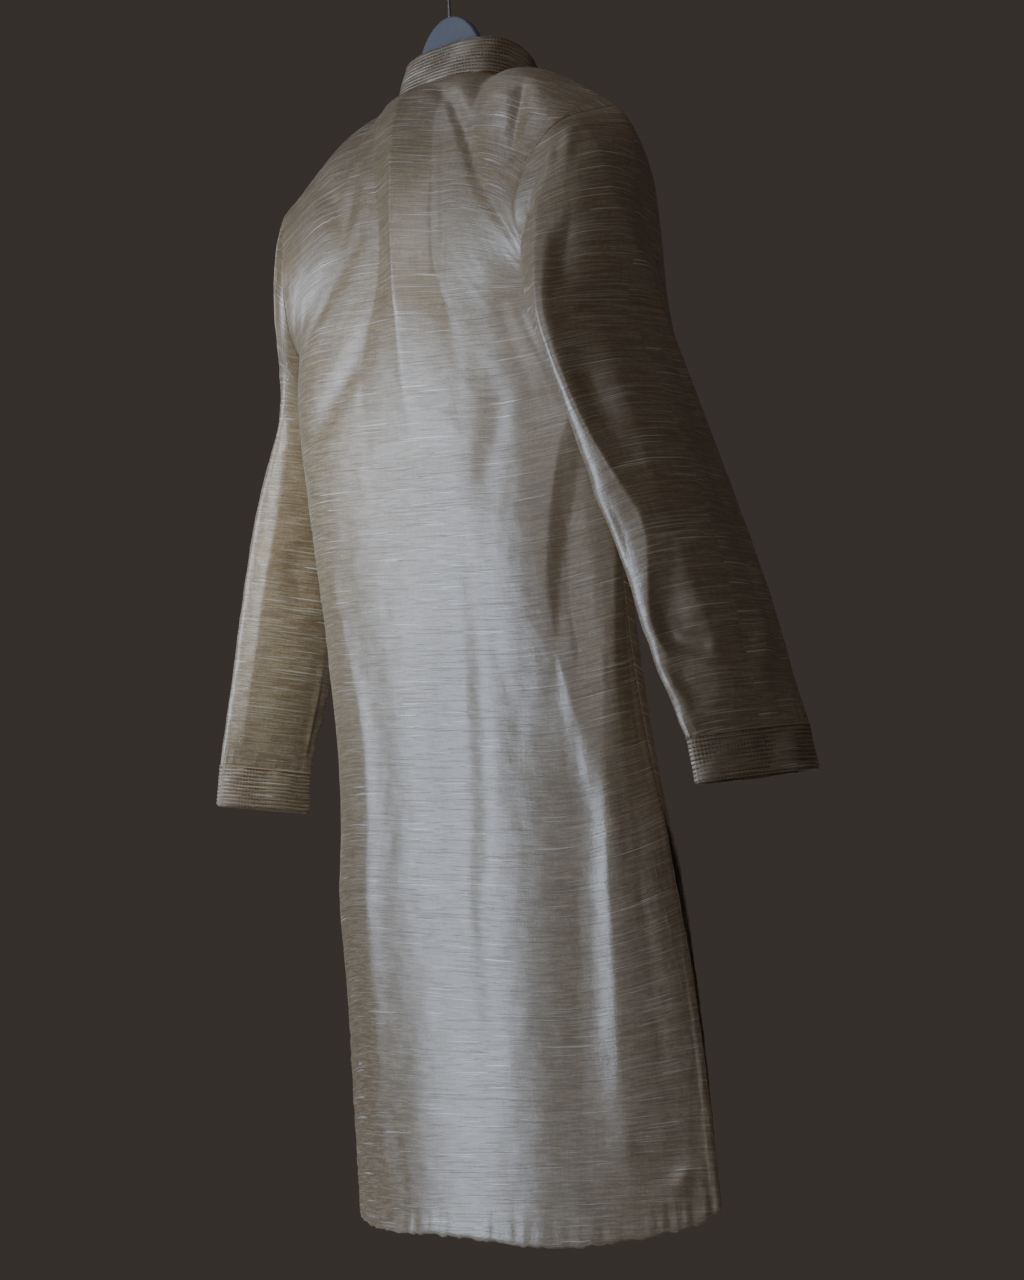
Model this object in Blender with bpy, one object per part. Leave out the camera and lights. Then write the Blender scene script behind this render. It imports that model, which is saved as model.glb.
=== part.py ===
"""A kurta tunic hanging on a clothes hanger, as closed solids: cloth panels, bands, buttons, board and hook.

Units are metres and +Z is up. The wearer would face -Y, with the wearer's left hand on +X.
Everything is worked out with the nape, the centre back of the collar seam, at z = 0.
It is then lowered so the origin is the inside top of the hook, where a rod carries it.
"""

from collections import namedtuple

import bmesh
import bpy
import numpy as np
from mathutils import Vector

# --- Driving sizes -------------------------------------------------------------------------------
CLOTH = 0.0014  # wall of a single layer of silk
HEM_CLOTH = 0.0026  # wall where the edge is turned under
BAND_CLOTH = 0.0030  # wall of the stiffened collar and cuff bands
SEAM_GAP = 0.0003  # daylight between sewn pieces

ARMPIT_LEVEL = -0.262
SLIT_LEVEL = -0.690
BACK_HEM_LEVEL = -1.082
FRONT_HEM_LEVEL = -1.070
SLIT_GAP = 0.012  # how far the edges of a side slit stand apart
SLIT_EASE = 0.080  # length over which the slit opens
FRONT_NARROW = 0.012  # how far each side of the front stands inside the back below the slit
FRONT_NARROW_EASE = 0.30
HEM_DEPTH = 0.013  # height of the turned hem

NECK_SQUARE = 2.5  # how boxy the neckline is behind the shoulders
NECK_HALF_WIDTH = 0.072
NECK_HALF_DEPTH = 0.055
NECK_CENTRE_Y = -0.022
NECK_FALL = 3.6  # fall of the neckline, per square metre forward of the nape
BACK_NECK_DROP = 0.35  # how directly the back drops from the nape, 0 level to 1 straight
FRONT_NECK_EASE = 1.2  # neck shares over which the front goes from straight to level
COLLAR_HEIGHT = 0.040
COLLAR_FORWARD = 0.012  # how far the top of the collar leans forward
COLLAR_INWARD = 0.004  # how far it leans in all round
COLLAR_COLUMNS = 36
COLLAR_END_GAP = 0.006

SHOULDER_CROWN = 0.017  # rise of the shoulder seam above a straight line
CROWN_LEAN = 0.7  # below 1 the crown lies nearer the neck
NECK_LEVEL_SHARE = 0.5  # share of the front neck that drops straight
ARMHOLE_PULL = 3  # the higher, the nearer the armhole its pull on the cloth stays

CUFF_HEIGHT = 0.040
RIB_HEIGHT = 0.0006
BAND_RIBS = 8

PLACKET_TOP = 0.006  # start and end of the placket down the front panel, from the throat
PLACKET_END = 0.300
PLACKET_HALF_WIDTH = 0.015
PLACKET_CLOTH = 0.0012
PLACKET_GAP = 0.0008
BUTTON_COUNT = 4
BUTTON_RADIUS = 0.006
BUTTON_HEIGHT = 0.0028
BUTTON_STEPS = 14
BUTTON_CREASE = 40.0  # degrees above which an edge of a button shows sharp
PLACKET_ROWS = 13

HOOK_WIRE_RADIUS = 0.0016
HOOK_RADIUS = 0.019
HOOK_STEM = 0.045
HOOK_BEND = 0.010  # height over which the stem bends into the crook
HOOK_START = -62.0  # where the crook starts and ends, in degrees from level
HOOK_END = 186.0
HOOK_STEM_POINTS = 6
HOOK_CROOK_POINTS = 22
DOME_TOP = 0.074
DOME_HALF_WIDTH = 0.049
DOME_SHOULDER = 0.012  # width of the step between dome and arm
DOME_STEP = 0.004  # height of that step
DOME_FULLNESS = 0.8  # below 1 the dome is fuller than an ellipse
DOME_POINTS = 8
BOARD_THICKNESS = 0.008
BOARD_HALF_LENGTH = 0.188
BOARD_DEPTH = 0.026
BOARD_NECK_DEPTH = 0.014  # how much deeper the board is at the neck
BOARD_MIDDLE_DEPTH = 0.002  # and a little more in the middle
BOARD_POINTS = 9
BOARD_SEAT = 0.0002  # cloth to board, measured down at the shoulder seam
BOARD_NECK_DROP = 0.018
BOARD_TIP_DROP = 0.010

BACK, FRONT = 1.0, -1.0
PANEL_COLUMNS = 28
NECK_COLUMNS = 10  # the middle columns of a panel, which end at the neckline
NECK_SHARE = NECK_COLUMNS / PANEL_COLUMNS
YOKE_ROWS = 12
SKIRT_ROWS = 20
SLEEVE_COLUMNS = 24
CAP_RINGS = 8
ARM_RINGS = 12
LEVEL_STEP = 0.004  # step in level used to find the run of a sleeve

HANGER_Y = -0.002  # middle of the board
HANG = DOME_TOP + HOOK_STEM + 2 * HOOK_RADIUS - HOOK_WIRE_RADIUS  # nape to the inside of the crook
PLACE = (0.0, -HANGER_Y, -HANG)

# --- Sections ------------------------------------------------------------------------------------
# Body rings from the armpit down. square 2 is an ellipse and more is boxier; lens goes from 0,
# round at the sides, to 1, where two shallow arcs meet at the side edges.
BodyRing = namedtuple("BodyRing", "level half_width back_depth front_depth square lens x y")
BODY_RINGS = (
    BodyRing(-0.262, 0.190, 0.092, 0.076, 3.0, 0.0, 0.000, 0.000),
    BodyRing(-0.380, 0.187, 0.086, 0.068, 2.7, 0.0, 0.003, 0.000),
    BodyRing(-0.500, 0.182, 0.080, 0.056, 2.4, 0.0, 0.000, -0.001),
    BodyRing(-0.620, 0.186, 0.076, 0.052, 2.2, 0.0, -0.006, -0.004),
    BodyRing(-0.740, 0.203, 0.076, 0.044, 2.2, 0.2, -0.006, -0.014),
    BodyRing(-0.860, 0.216, 0.080, 0.038, 2.2, 0.6, -0.006, -0.025),
    BodyRing(-1.000, 0.223, 0.088, 0.034, 2.2, 0.9, -0.004, -0.033),
    BodyRing(-1.110, 0.228, 0.094, 0.030, 2.2, 1.0, -0.002, -0.038),
)

# How far the hem is lifted across a panel, from the wearer's right, at share -1, to the left.
HemPoint = namedtuple("HemPoint", "share rise")
HEM_RISE = (
    HemPoint(-1.00, 0.033),
    HemPoint(-0.60, 0.012),
    HemPoint(-0.25, 0.002),
    HemPoint(-0.05, 0.016),
    HemPoint(0.10, 0.022),
    HemPoint(0.30, 0.020),
    HemPoint(0.50, 0.022),
    HemPoint(1.00, 0.028),
)

# Sleeve rings below the cap. half_out is half the thickness across the pressed sleeve, half_back
# half its width from front to back, turn swings its front fold outward in degrees and crease
# goes from 0, a round section, to 1, a lens with sharp front and back folds.
SleeveRing = namedtuple("SleeveRing", "level x y half_out half_back turn crease")
CAP_OUT = {1.0: 0.25, -1.0: 0.86}  # how far out each sleeve's cap leaves the shoulder
UNDER_OUT = 0.68  # the same under the arm
PIT_TURN = {1.0: -0.10, -1.0: 0.45}  # forward turn of the cloth below the armpit, in radians
CAP_FALL = 0.55  # how steeply the cap leaves its seam
CAP_LANDING = 0.010  # how far into the sleeve the cap takes its direction there from
CAP_EASE = 0.30  # share of the way over which the cap holds its direction at each end
RIGHT_SLEEVE = (
    SleeveRing(-0.300, -0.230, 0.052, 0.024, 0.079, 4.0, 0.0),
    SleeveRing(-0.400, -0.256, 0.035, 0.028, 0.074, 8.0, 0.2),
    SleeveRing(-0.530, -0.288, 0.015, 0.026, 0.067, 14.0, 0.3),
    SleeveRing(-0.648, -0.312, -0.002, 0.017, 0.061, 20.0, 0.1),
)
LEFT_SLEEVE = (
    SleeveRing(-0.300, 0.220, -0.019, 0.018, 0.060, 0.0, 0.0),
    SleeveRing(-0.400, 0.253, -0.015, 0.023, 0.062, -2.0, 0.2),
    SleeveRing(-0.530, 0.283, -0.010, 0.024, 0.060, -5.0, 0.3),
    SleeveRing(-0.618, 0.305, -0.003, 0.017, 0.053, -8.0, 0.1),
)

# Armhole edge from the shoulder tip, at share 0, to the armpit, at share 1: the wearer's left side.
# reach is the share of the panel's half width that is left there between centre and armhole.
ArmholePoint = namedtuple("ArmholePoint", "share x y level reach")
ARMHOLE_BACK = (
    ArmholePoint(0.00, 0.208, 0.003, -0.068, 1.00),
    ArmholePoint(0.25, 0.187, 0.060, -0.090, 0.90),
    ArmholePoint(0.50, 0.163, 0.083, -0.134, 0.70),
    ArmholePoint(0.72, 0.156, 0.086, -0.186, 0.57),
    ArmholePoint(0.88, 0.169, 0.060, -0.228, 0.66),
    ArmholePoint(1.00, 0.190, 0.000, -0.262, 1.00),
)
ARMHOLE_FRONT = (
    ArmholePoint(0.00, 0.208, 0.003, -0.068, 1.00),
    ArmholePoint(0.25, 0.187, -0.042, -0.091, 0.90),
    ArmholePoint(0.50, 0.165, -0.060, -0.136, 0.75),
    ArmholePoint(0.72, 0.158, -0.066, -0.188, 0.60),
    ArmholePoint(0.88, 0.168, -0.050, -0.228, 0.62),
    ArmholePoint(1.00, 0.190, 0.000, -0.262, 1.00),
)
SHOULDER_DRAW = {1.0: 0.018, -1.0: 0.0}  # how far each shoulder tip is drawn in
DRAW_EASE = 1.4  # how soon that draw dies out down the armhole

# Large folds: a soft ridge (or trough, where height is negative) from one place on a panel to
# another. u runs across a panel and v down it; bow is how far the middle swings to +u, in metres.
Fold = namedtuple("Fold", "u0 v0 u1 v1 bow width height")
BACK_FOLDS = (
    Fold(0.24, 0.12, 0.76, 0.86, 0.006, 0.022, -0.004),
    Fold(-0.22, 0.15, -0.90, 0.78, -0.006, 0.020, -0.004),
    Fold(-0.03, 0.10, -0.06, 1.25, 0.004, 0.024, 0.003),
    Fold(-0.34, 0.20, -0.24, 1.20, 0.004, 0.022, -0.003),
    Fold(0.80, 0.84, 0.02, 1.10, 0.010, 0.022, -0.004),
    Fold(0.62, 1.02, 0.08, 1.22, 0.010, 0.024, -0.004),
    Fold(-0.66, 1.02, -0.36, 1.95, 0.020, 0.030, -0.006),
    Fold(-0.16, 1.05, -0.10, 2.00, 0.006, 0.036, -0.005),
    Fold(0.34, 1.20, 0.40, 2.00, -0.008, 0.036, -0.004),
    Fold(-0.86, 1.35, -0.66, 1.75, 0.010, 0.026, -0.005),
)
FRONT_FOLDS = (
    Fold(-0.24, 0.20, -0.74, 0.84, 0.006, 0.022, -0.004),
    Fold(0.24, 0.20, 0.78, 0.82, -0.006, 0.022, -0.004),
    Fold(-0.50, 1.00, -0.34, 1.95, 0.014, 0.030, -0.005),
    Fold(0.44, 1.10, 0.52, 1.98, -0.012, 0.032, -0.005),
    Fold(0.16, 1.20, 0.10, 2.00, 0.006, 0.034, -0.004),
)
YOKE_LENGTH = 0.27  # cloth length of v from 0 to 1
SKIRT_LENGTH = 0.82  # cloth length of v from 1 to 2
PANEL_HALF_WIDTH = 0.25  # cloth width of u from 0 to 1


# --- Small maths ---------------------------------------------------------------------------------
def along(table, column, at, key="level"):
    """Value of a table's column at a value of its key, on a smooth curve through its rows."""
    rows = sorted(table, key=lambda row: getattr(row, key))
    keys = np.array([getattr(row, key) for row in rows])
    values = np.array([getattr(row, column) for row in rows])
    slopes = np.gradient(values, keys)
    at = np.clip(at, keys[0], keys[-1])
    i = np.clip(np.searchsorted(keys, at, side="right") - 1, 0, len(keys) - 2)
    span = keys[i + 1] - keys[i]
    s = (at - keys[i]) / span
    ends = (2 * s**3 - 3 * s**2 + 1) * values[i] + (3 * s**2 - 2 * s**3) * values[i + 1]
    bends = (s**3 - 2 * s**2 + s) * slopes[i] + (s**3 - s**2) * slopes[i + 1]
    return ends + bends * span


def smooth(s):
    """Eases from 0 to 1 with flat ends."""
    s = np.clip(s, 0.0, 1.0)
    return s * s * (3 - 2 * s)


def squared(angle, square):
    """Reach of a squared circle at an angle: square 2 is a circle and more is boxier."""
    return (abs(np.sin(angle)) ** square + abs(np.cos(angle)) ** square) ** (-1 / square)


def unit(vectors):
    """Vectors scaled to length one along their last axis."""
    return vectors / np.maximum(np.linalg.norm(vectors, axis=-1, keepdims=True), 1e-12)


def bezier(a, b, c, d, t):
    """Point of a cubic Bezier curve."""
    return a * (1 - t) ** 3 + 3 * b * t * (1 - t) ** 2 + 3 * c * t * t * (1 - t) + d * t**3


def grid_normals(points, closed=False):
    """Unit normals of a grid of points, rows running down and columns running around."""
    down = np.gradient(points, axis=0)
    if closed:
        across = np.roll(points, -1, axis=1) - np.roll(points, 1, axis=1)
    else:
        across = np.gradient(points, axis=1)
    return unit(np.cross(down, across))


# --- Body ----------------------------------------------------------------------------------------
NECK_SIDE_ANGLE = np.arccos(-NECK_CENTRE_Y / NECK_HALF_DEPTH)


def neck_point(angle):
    """Point of the neckline. Angle 0 is the nape and a quarter turn is the wearer's left side."""
    reach = squared(angle, NECK_SQUARE if np.cos(angle) > 0 else 2)
    x = NECK_HALF_WIDTH * reach * np.sin(angle)
    forward = NECK_HALF_DEPTH * (reach * np.cos(angle) - 1)
    return np.array([x, NECK_CENTRE_Y + NECK_HALF_DEPTH + forward, -NECK_FALL * forward**2])


def top_edge(side, u):
    """Top of a panel: the neckline inside the neck share, then the shoulder seam."""
    hand = 1.0 if u >= 0 else -1.0
    reach = abs(u) / NECK_SHARE
    if reach <= 1:
        start = 0.0 if side == BACK else np.pi
        point = neck_point(start + (NECK_SIDE_ANGLE - start) * reach)
    else:
        t = (reach - 1) * NECK_SHARE / (1 - NECK_SHARE)
        inner = neck_point(NECK_SIDE_ANGLE)
        tip = armhole_point(side, hand, 0.0) * [hand, 1, 1]
        point = inner + (tip - inner) * t
        point[2] += SHOULDER_CROWN * np.sin(np.pi * t**CROWN_LEAN)
    return point * [hand, 1, 1]


def hang_point(side, u, level):
    """Point of a panel below the armpit."""
    angle = u * np.pi / 2
    square = along(BODY_RINGS, "square", level)
    reach = squared(angle, square)
    across = reach * np.sin(angle)
    lens = along(BODY_RINGS, "lens", level)
    out = reach * np.cos(angle) * (1 - lens) + (1 - across**2) * lens
    depth = along(BODY_RINGS, "back_depth" if side == BACK else "front_depth", level)
    half_width = along(BODY_RINGS, "half_width", level)
    if side == FRONT:
        half_width -= FRONT_NARROW * smooth((SLIT_LEVEL - level) / FRONT_NARROW_EASE)
    x = along(BODY_RINGS, "x", level) + half_width * across
    gap = SLIT_GAP / 2 * smooth((SLIT_LEVEL - level) / SLIT_EASE)
    y = along(BODY_RINGS, "y", level) + side * (depth * out + gap)
    return np.array([x, y, level])


def armhole_point(side, hand, share):
    """Edge of a panel at the armhole."""
    table = ARMHOLE_BACK if side == BACK else ARMHOLE_FRONT
    place = [along(table, column, share, key="share") for column in ("x", "y", "level")]
    place[0] -= SHOULDER_DRAW[hand] * (1 - share) ** DRAW_EASE
    return np.array(place) * [hand, 1, 1]


def drape_point(side, u, t):
    """Yoke cloth hung from the top edge to the armpit level, before the armhole is cut."""
    top = top_edge(side, u)
    low = hang_point(side, u, ARMPIT_LEVEL)
    quarter = np.pi / 2 * t
    if side == BACK:
        neck = BACK_NECK_DROP * (1 - smooth(abs(u) / NECK_SHARE))
    else:
        neck = 1 - smooth((abs(u) / NECK_SHARE - NECK_LEVEL_SHARE) / FRONT_NECK_EASE)
    shelf = np.array([smooth(t), np.sin(quarter), 1 - np.cos(quarter)])
    return top + (low - top) * (shelf * (1 - neck) + t * neck)


def panel_point(side, u, v):
    """Outer point of a body panel. v is 0 to 1 over the yoke and 1 to 2 from armpit to hem."""
    if v <= 1:
        hand = 1.0 if u >= 0 else -1.0
        table = ARMHOLE_BACK if side == BACK else ARMHOLE_FRONT
        reach = along(table, "reach", v, key="share")
        pull = armhole_point(side, hand, v) - drape_point(side, hand * reach, v)
        point = drape_point(side, u * reach, v) + pull * abs(u) ** ARMHOLE_PULL
    else:
        hem = BACK_HEM_LEVEL if side == BACK else FRONT_HEM_LEVEL
        hem += along(HEM_RISE, "rise", u, key="share")
        point = hang_point(side, u, ARMPIT_LEVEL + (hem - ARMPIT_LEVEL) * (v - 1))
    return point


def cloth_place(u, v):
    """Where a panel's point lies on the flat cloth, in metres across and down."""
    down = YOKE_LENGTH * min(v, 1.0) + SKIRT_LENGTH * max(v - 1.0, 0.0)
    return np.array([u * PANEL_HALF_WIDTH, down])


def fold_height(folds, u, v):
    """How far the folds lift the cloth at a point of a panel."""
    here = cloth_place(u, v)
    height = 0.0
    for fold in folds:
        start = cloth_place(fold.u0, fold.v0)
        run = cloth_place(fold.u1, fold.v1) - start
        length = np.linalg.norm(run)
        s = np.dot(here - start, run) / length**2
        if 0 < s < 1:
            away = np.dot(here - start, np.array([run[1], -run[0]]) / length)
            away -= fold.bow * 4 * s * (1 - s)
            height += fold.height * np.sin(np.pi * s) * np.exp(-((away / fold.width) ** 2))
    return height


def panel_rows():
    """Values of v for the rows of a panel, with one more at the top of the turned hem."""
    yoke = np.linspace(0, 1, YOKE_ROWS + 1)
    skirt = np.linspace(1, 2 - 2 * HEM_DEPTH / SKIRT_LENGTH, SKIRT_ROWS - 1)[1:]
    return (*yoke, *skirt, 2 - HEM_DEPTH / SKIRT_LENGTH, 2.0)


def panel_grid(side, folds):
    """Outer points of a body panel, rows from the top edge to the hem."""
    columns = np.linspace(-side, side, PANEL_COLUMNS + 1) * -1
    rows = panel_rows()
    points = np.array([[panel_point(side, u, v) for u in columns] for v in rows])
    heights = np.array([[fold_height(folds, u, v) for u in columns] for v in rows])
    return points + grid_normals(points) * heights[:, :, None]


# --- Sleeves -------------------------------------------------------------------------------------
def sleeve_axis(table, level):
    """Centre of a sleeve at a level."""
    return np.array([along(table, "x", level), along(table, "y", level), level])


def sleeve_run(table, level):
    """Direction of a sleeve at a level, towards the cuff."""
    above = sleeve_axis(table, level + LEVEL_STEP)
    return unit(sleeve_axis(table, level - LEVEL_STEP) - above)


def sleeve_section(table, hand, level, angle):
    """Point of a pressed sleeve section. Angle 0 is outward and a quarter turn is to the back."""
    down = sleeve_run(table, level)
    turn = np.radians(along(table, "turn", level))
    back = np.array([-hand * np.sin(turn), np.cos(turn), 0.0])
    back = unit(back - down * np.dot(back, down))
    out = np.cross(back, down)
    out = out * np.sign(out[0] * hand)
    angle = angle + PIT_TURN[hand] * (1 - np.cos(angle)) / 2
    crease = along(table, "crease", level)
    bulge = np.cos(angle) * (1 - crease + crease * abs(np.cos(angle)))
    half_out = along(table, "half_out", level)
    half_back = along(table, "half_back", level)
    return sleeve_axis(table, level) + out * half_out * bulge + back * half_back * np.sin(angle)


def sleeve_angles(hand):
    """Angles of a sleeve's columns, in the order that turns its faces outward."""
    angles = np.arange(SLEEVE_COLUMNS) * 2 * np.pi / SLEEVE_COLUMNS
    return angles if hand > 0 else angles[::-1]


def sleeve_grid(table, hand):
    """Outer points of a sleeve, rings from the armhole to the cuff seam."""
    first, last = table[0].level, table[-1].level
    angles = sleeve_angles(hand)
    rings = []
    for t in np.linspace(0, 1, CAP_RINGS + 1)[:-1]:
        rings.append([cap_point(table, hand, angle, t) for angle in angles])
    for level in np.linspace(first, last, ARM_RINGS + 1):
        rings.append([sleeve_section(table, hand, level, angle) for angle in angles])
    return np.array(rings)


def cap_point(table, hand, angle, t):
    """Point of the sleeve cap, from the armhole at t = 0 to the first section at t = 1."""
    share = angle / np.pi
    if share <= 1:
        seam = armhole_point(BACK, hand, share)
    else:
        seam = armhole_point(FRONT, hand, 2 - share)
    level = table[0].level
    low = sleeve_section(table, hand, level, angle)
    travel = unit(sleeve_section(table, hand, level - CAP_LANDING, angle) - low)
    top = (1 + np.cos(angle)) / 2
    reach = np.linalg.norm(low - seam)
    out = UNDER_OUT + (CAP_OUT[hand] - UNDER_OUT) * top
    leave = unit(np.array([hand * out, 0.0, -CAP_FALL]))
    return bezier(seam, seam + leave * reach * CAP_EASE, low - travel * reach * CAP_EASE, low, t)


# --- Cloth walls ---------------------------------------------------------------------------------
def solid_mesh(name, vertices, faces):
    """Closed mesh in triangles, with its faces turned outward."""
    mesh = bpy.data.meshes.new(name)
    mesh.from_pydata(vertices.tolist(), [], faces)
    form = bmesh.new()
    form.from_mesh(mesh)
    bmesh.ops.triangulate(form, faces=form.faces)
    bmesh.ops.recalc_face_normals(form, faces=form.faces)
    form.to_mesh(mesh)
    form.free()
    return mesh


def place(name, mesh, finish):
    """Object of a mesh in garment position, hung below the origin, with its finish."""
    item = bpy.data.objects.new(name, mesh)
    item.location = PLACE
    bpy.context.scene.collection.objects.link(item)
    mesh.materials.append(finish)
    return item


def grid_faces(points, start, closed):
    """Triangles of a grid, each cell cut along its shorter diagonal, vertices numbered from start."""
    rows, columns = points.shape[:2]
    faces = []
    for r in range(rows - 1):
        for c in range(columns if closed else columns - 1):
            d = (c + 1) % columns
            cell = [(r, c), (r + 1, c), (r + 1, d), (r, d)]
            first = np.linalg.norm(points[cell[0]] - points[cell[2]])
            second = np.linalg.norm(points[cell[1]] - points[cell[3]])
            a, b, e, f = [start + i * columns + j for i, j in cell]
            faces += [[a, b, e], [a, e, f]] if first < second else [[a, b, f], [b, e, f]]
    return faces


def edge_loop(rows, columns, start):
    """Vertex numbers round the edge of an open grid, going right along its first row."""
    top = [(0, c) for c in range(columns)]
    right = [(r, columns - 1) for r in range(1, rows)]
    bottom = [(rows - 1, c) for c in range(columns - 2, -1, -1)]
    left = [(r, 0) for r in range(rows - 2, 0, -1)]
    return [start + r * columns + c for r, c in (*top, *right, *bottom, *left)]


def strip(first, second):
    """Quads that join two loops of as many vertices."""
    faces = []
    for i in range(len(first)):
        j = (i + 1) % len(first)
        faces.append([first[i], first[j], second[j], second[i]])
    return faces


def cloth_wall(name, outer, inner, finish, closed=False):
    """Closed solid between an outer grid of points and the inner grid that matches it."""
    rows, columns = outer.shape[:2]
    size = rows * columns
    faces = grid_faces(outer, 0, closed)
    faces += grid_faces(outer, size, closed)
    if closed:
        last = (rows - 1) * columns
        faces += strip(range(columns), range(size, size + columns))
        faces += strip(range(size + last, size + last + columns), range(last, last + columns))
    else:
        faces += strip(edge_loop(rows, columns, 0), edge_loop(rows, columns, size))
    vertices = np.concatenate([outer.reshape(-1, 3), inner.reshape(-1, 3)])
    mesh = solid_mesh(name, vertices, faces)
    mesh.shade_smooth()
    return place(name, mesh, finish)


def part_rows(outer, inner, edge, inside, axis):
    """Draws one edge of a wall back from its seam by half the gap."""
    take = [slice(None)] * 3
    take[axis] = edge
    step = [slice(None)] * 3
    step[axis] = inside
    away = unit(outer[tuple(step)] - outer[tuple(take)]) * SEAM_GAP
    outer[tuple(take)] += away
    inner[tuple(take)] += away


def sewn_grids():
    """Outer points and normals of back, front and sleeves, alike along the seams they share."""
    points = {
        "back": panel_grid(BACK, BACK_FOLDS),
        "front": panel_grid(FRONT, FRONT_FOLDS),
        "sleeve_left": sleeve_grid(LEFT_SLEEVE, 1.0),
        "sleeve_right": sleeve_grid(RIGHT_SLEEVE, -1.0),
    }
    normals = {name: grid_normals(grid, "sleeve" in name) for name, grid in points.items()}
    last = PANEL_COLUMNS
    seams = []
    for column in range(last + 1):
        u = abs(1 - 2 * column / last)
        if NECK_SHARE - 1e-6 <= u < 1:
            seams.append([("back", 0, column), ("front", 0, last - column)])
    levels = points["back"][:, 0, 2]
    for row in range(YOKE_ROWS + 1, len(levels)):
        if levels[row] > SLIT_LEVEL:
            seams.append([("back", row, 0), ("front", row, last)])
            seams.append([("back", row, last), ("front", row, 0)])
    for row in range(YOKE_ROWS + 1):
        left, right = sleeve_column(1.0, row), sleeve_column(-1.0, row)
        far_left, far_right = sleeve_column(1.0, -row), sleeve_column(-1.0, -row)
        meets = [
            [("back", row, 0), ("sleeve_left", 0, left)],
            [("front", row, last), ("sleeve_left", 0, far_left)],
            [("back", row, last), ("sleeve_right", 0, right)],
            [("front", row, 0), ("sleeve_right", 0, far_right)],
        ]
        if row in (0, YOKE_ROWS):
            meets = [meets[1][:1] + meets[0], meets[3][:1] + meets[2]]
        seams += meets
    for seam in seams:
        panels = [normals[name][row, column] for name, row, column in seam if "sleeve" not in name]
        others = [normals[name][row, column] for name, row, column in seam if "sleeve" in name]
        shared = unit(sum([unit(sum(panels)), *others]))
        for name, row, column in seam:
            normals[name][row, column] = shared
    return points, normals


def sleeve_column(hand, step):
    """Column of a sleeve that lies so many steps from the shoulder tip, round the back."""
    step = step % SLEEVE_COLUMNS
    return step if hand > 0 else SLEEVE_COLUMNS - 1 - step


def sewn_pieces(finish):
    """Walls of back, front and sleeves, mitred and parted where they are sewn together."""
    points, normals = sewn_grids()
    for name, outer in points.items():
        closed = "sleeve" in name
        wall = np.full(outer.shape[:2], CLOTH)
        if not closed:
            wall[-2:] = HEM_CLOTH
            slit = outer[:, 0, 2] < SLIT_LEVEL
            wall[slit, 0] = HEM_CLOTH
            wall[slit, -1] = HEM_CLOTH
        inner = outer - normals[name] * wall[:, :, None]
        part_rows(outer, inner, 0, 1, 0)
        if not closed:
            part_rows(outer, inner, 0, 1, 1)
            part_rows(outer, inner, -1, -2, 1)
        cloth_wall(name, outer, inner, finish, closed)


# --- Bands ---------------------------------------------------------------------------------------
def ribbed_band(name, foot, rise, normals, finish, closed):
    """Stiffened band standing on a row of points, with rows of stitching raised along it."""
    steps = np.linspace(0, 1, 2 * BAND_RIBS + 1)
    raised = np.arange(2 * BAND_RIBS + 1) % 2 * RIB_HEIGHT
    outer = foot[None] + rise[None] * steps[:, None, None] + normals[None] * raised[:, None, None]
    inner = np.array([foot, foot + rise]) - normals[None] * BAND_CLOTH
    rows, columns = outer.shape[:2]
    size = rows * columns
    last = size - columns
    faces = grid_faces(outer, 0, closed)
    faces += grid_faces(inner, size, closed)
    turns = range(columns) if closed else range(columns - 1)
    for c in turns:
        d = (c + 1) % columns
        faces.append([c, size + c, size + d, d])
        faces.append([last + d, size + columns + d, size + columns + c, last + c])
    if not closed:
        edge = [r * columns for r in range(rows)]
        faces.append([*edge, size + columns, size])
        far = columns - 1
        faces.append([size + far, size + columns + far, *[r + far for r in edge[::-1]]])
    vertices = np.concatenate([outer.reshape(-1, 3), inner.reshape(-1, 3)])
    return place(name, solid_mesh(name, vertices, faces), finish)


def collar(finish):
    """Band collar round the neckline, open at the throat."""
    end = np.pi - COLLAR_END_GAP / 2 / NECK_HALF_WIDTH
    angles = np.linspace(end, -end, COLLAR_COLUMNS + 1)
    foot = np.array([neck_point(a) for a in angles]) + [0, 0, 2 * SEAM_GAP]
    radial = np.array([[np.sin(a) / NECK_HALF_WIDTH, np.cos(a) / NECK_HALF_DEPTH, 0] for a in angles])
    radial = unit(radial)
    rise = radial * -COLLAR_INWARD + [0, -COLLAR_FORWARD, COLLAR_HEIGHT]
    ribbed_band("collar", foot, rise, radial, finish, closed=False)


def cuff(name, table, hand, finish):
    """Band cuff in line with the end of a sleeve."""
    outer = sleeve_grid(table, hand)
    down = sleeve_run(table, table[-1].level)
    normals = grid_normals(outer, closed=True)[-1]
    normals = unit(normals - down * (normals @ down)[:, None])
    foot = outer[-1] + down * (CUFF_HEIGHT + SEAM_GAP)
    rise = np.tile(down * -CUFF_HEIGHT, (len(foot), 1))
    ribbed_band(name, foot, rise, normals, finish, closed=True)


# --- Placket and buttons -------------------------------------------------------------------------
def placket(finish):
    """Strip laid on the front panel's points below the throat. Returns places for the buttons."""
    drops = np.linspace(PLACKET_TOP, PLACKET_END, PLACKET_ROWS)
    rows = [d / YOKE_LENGTH if d < YOKE_LENGTH else 1 + (d - YOKE_LENGTH) / SKIRT_LENGTH for d in drops]
    half = PLACKET_HALF_WIDTH / PANEL_HALF_WIDTH
    columns = np.linspace(-half, half, 3)
    points = np.array([[panel_point(FRONT, u, v) for u in columns] for v in rows])
    normals = grid_normals(points)
    inner = points + normals * PLACKET_GAP
    outer = inner + normals * PLACKET_CLOTH
    cloth_wall("placket", outer, inner, finish)
    picks = np.linspace(1, len(rows) - 2, BUTTON_COUNT).round().astype(int)
    return [(outer[i, 1], normals[i, 1]) for i in picks]


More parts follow.
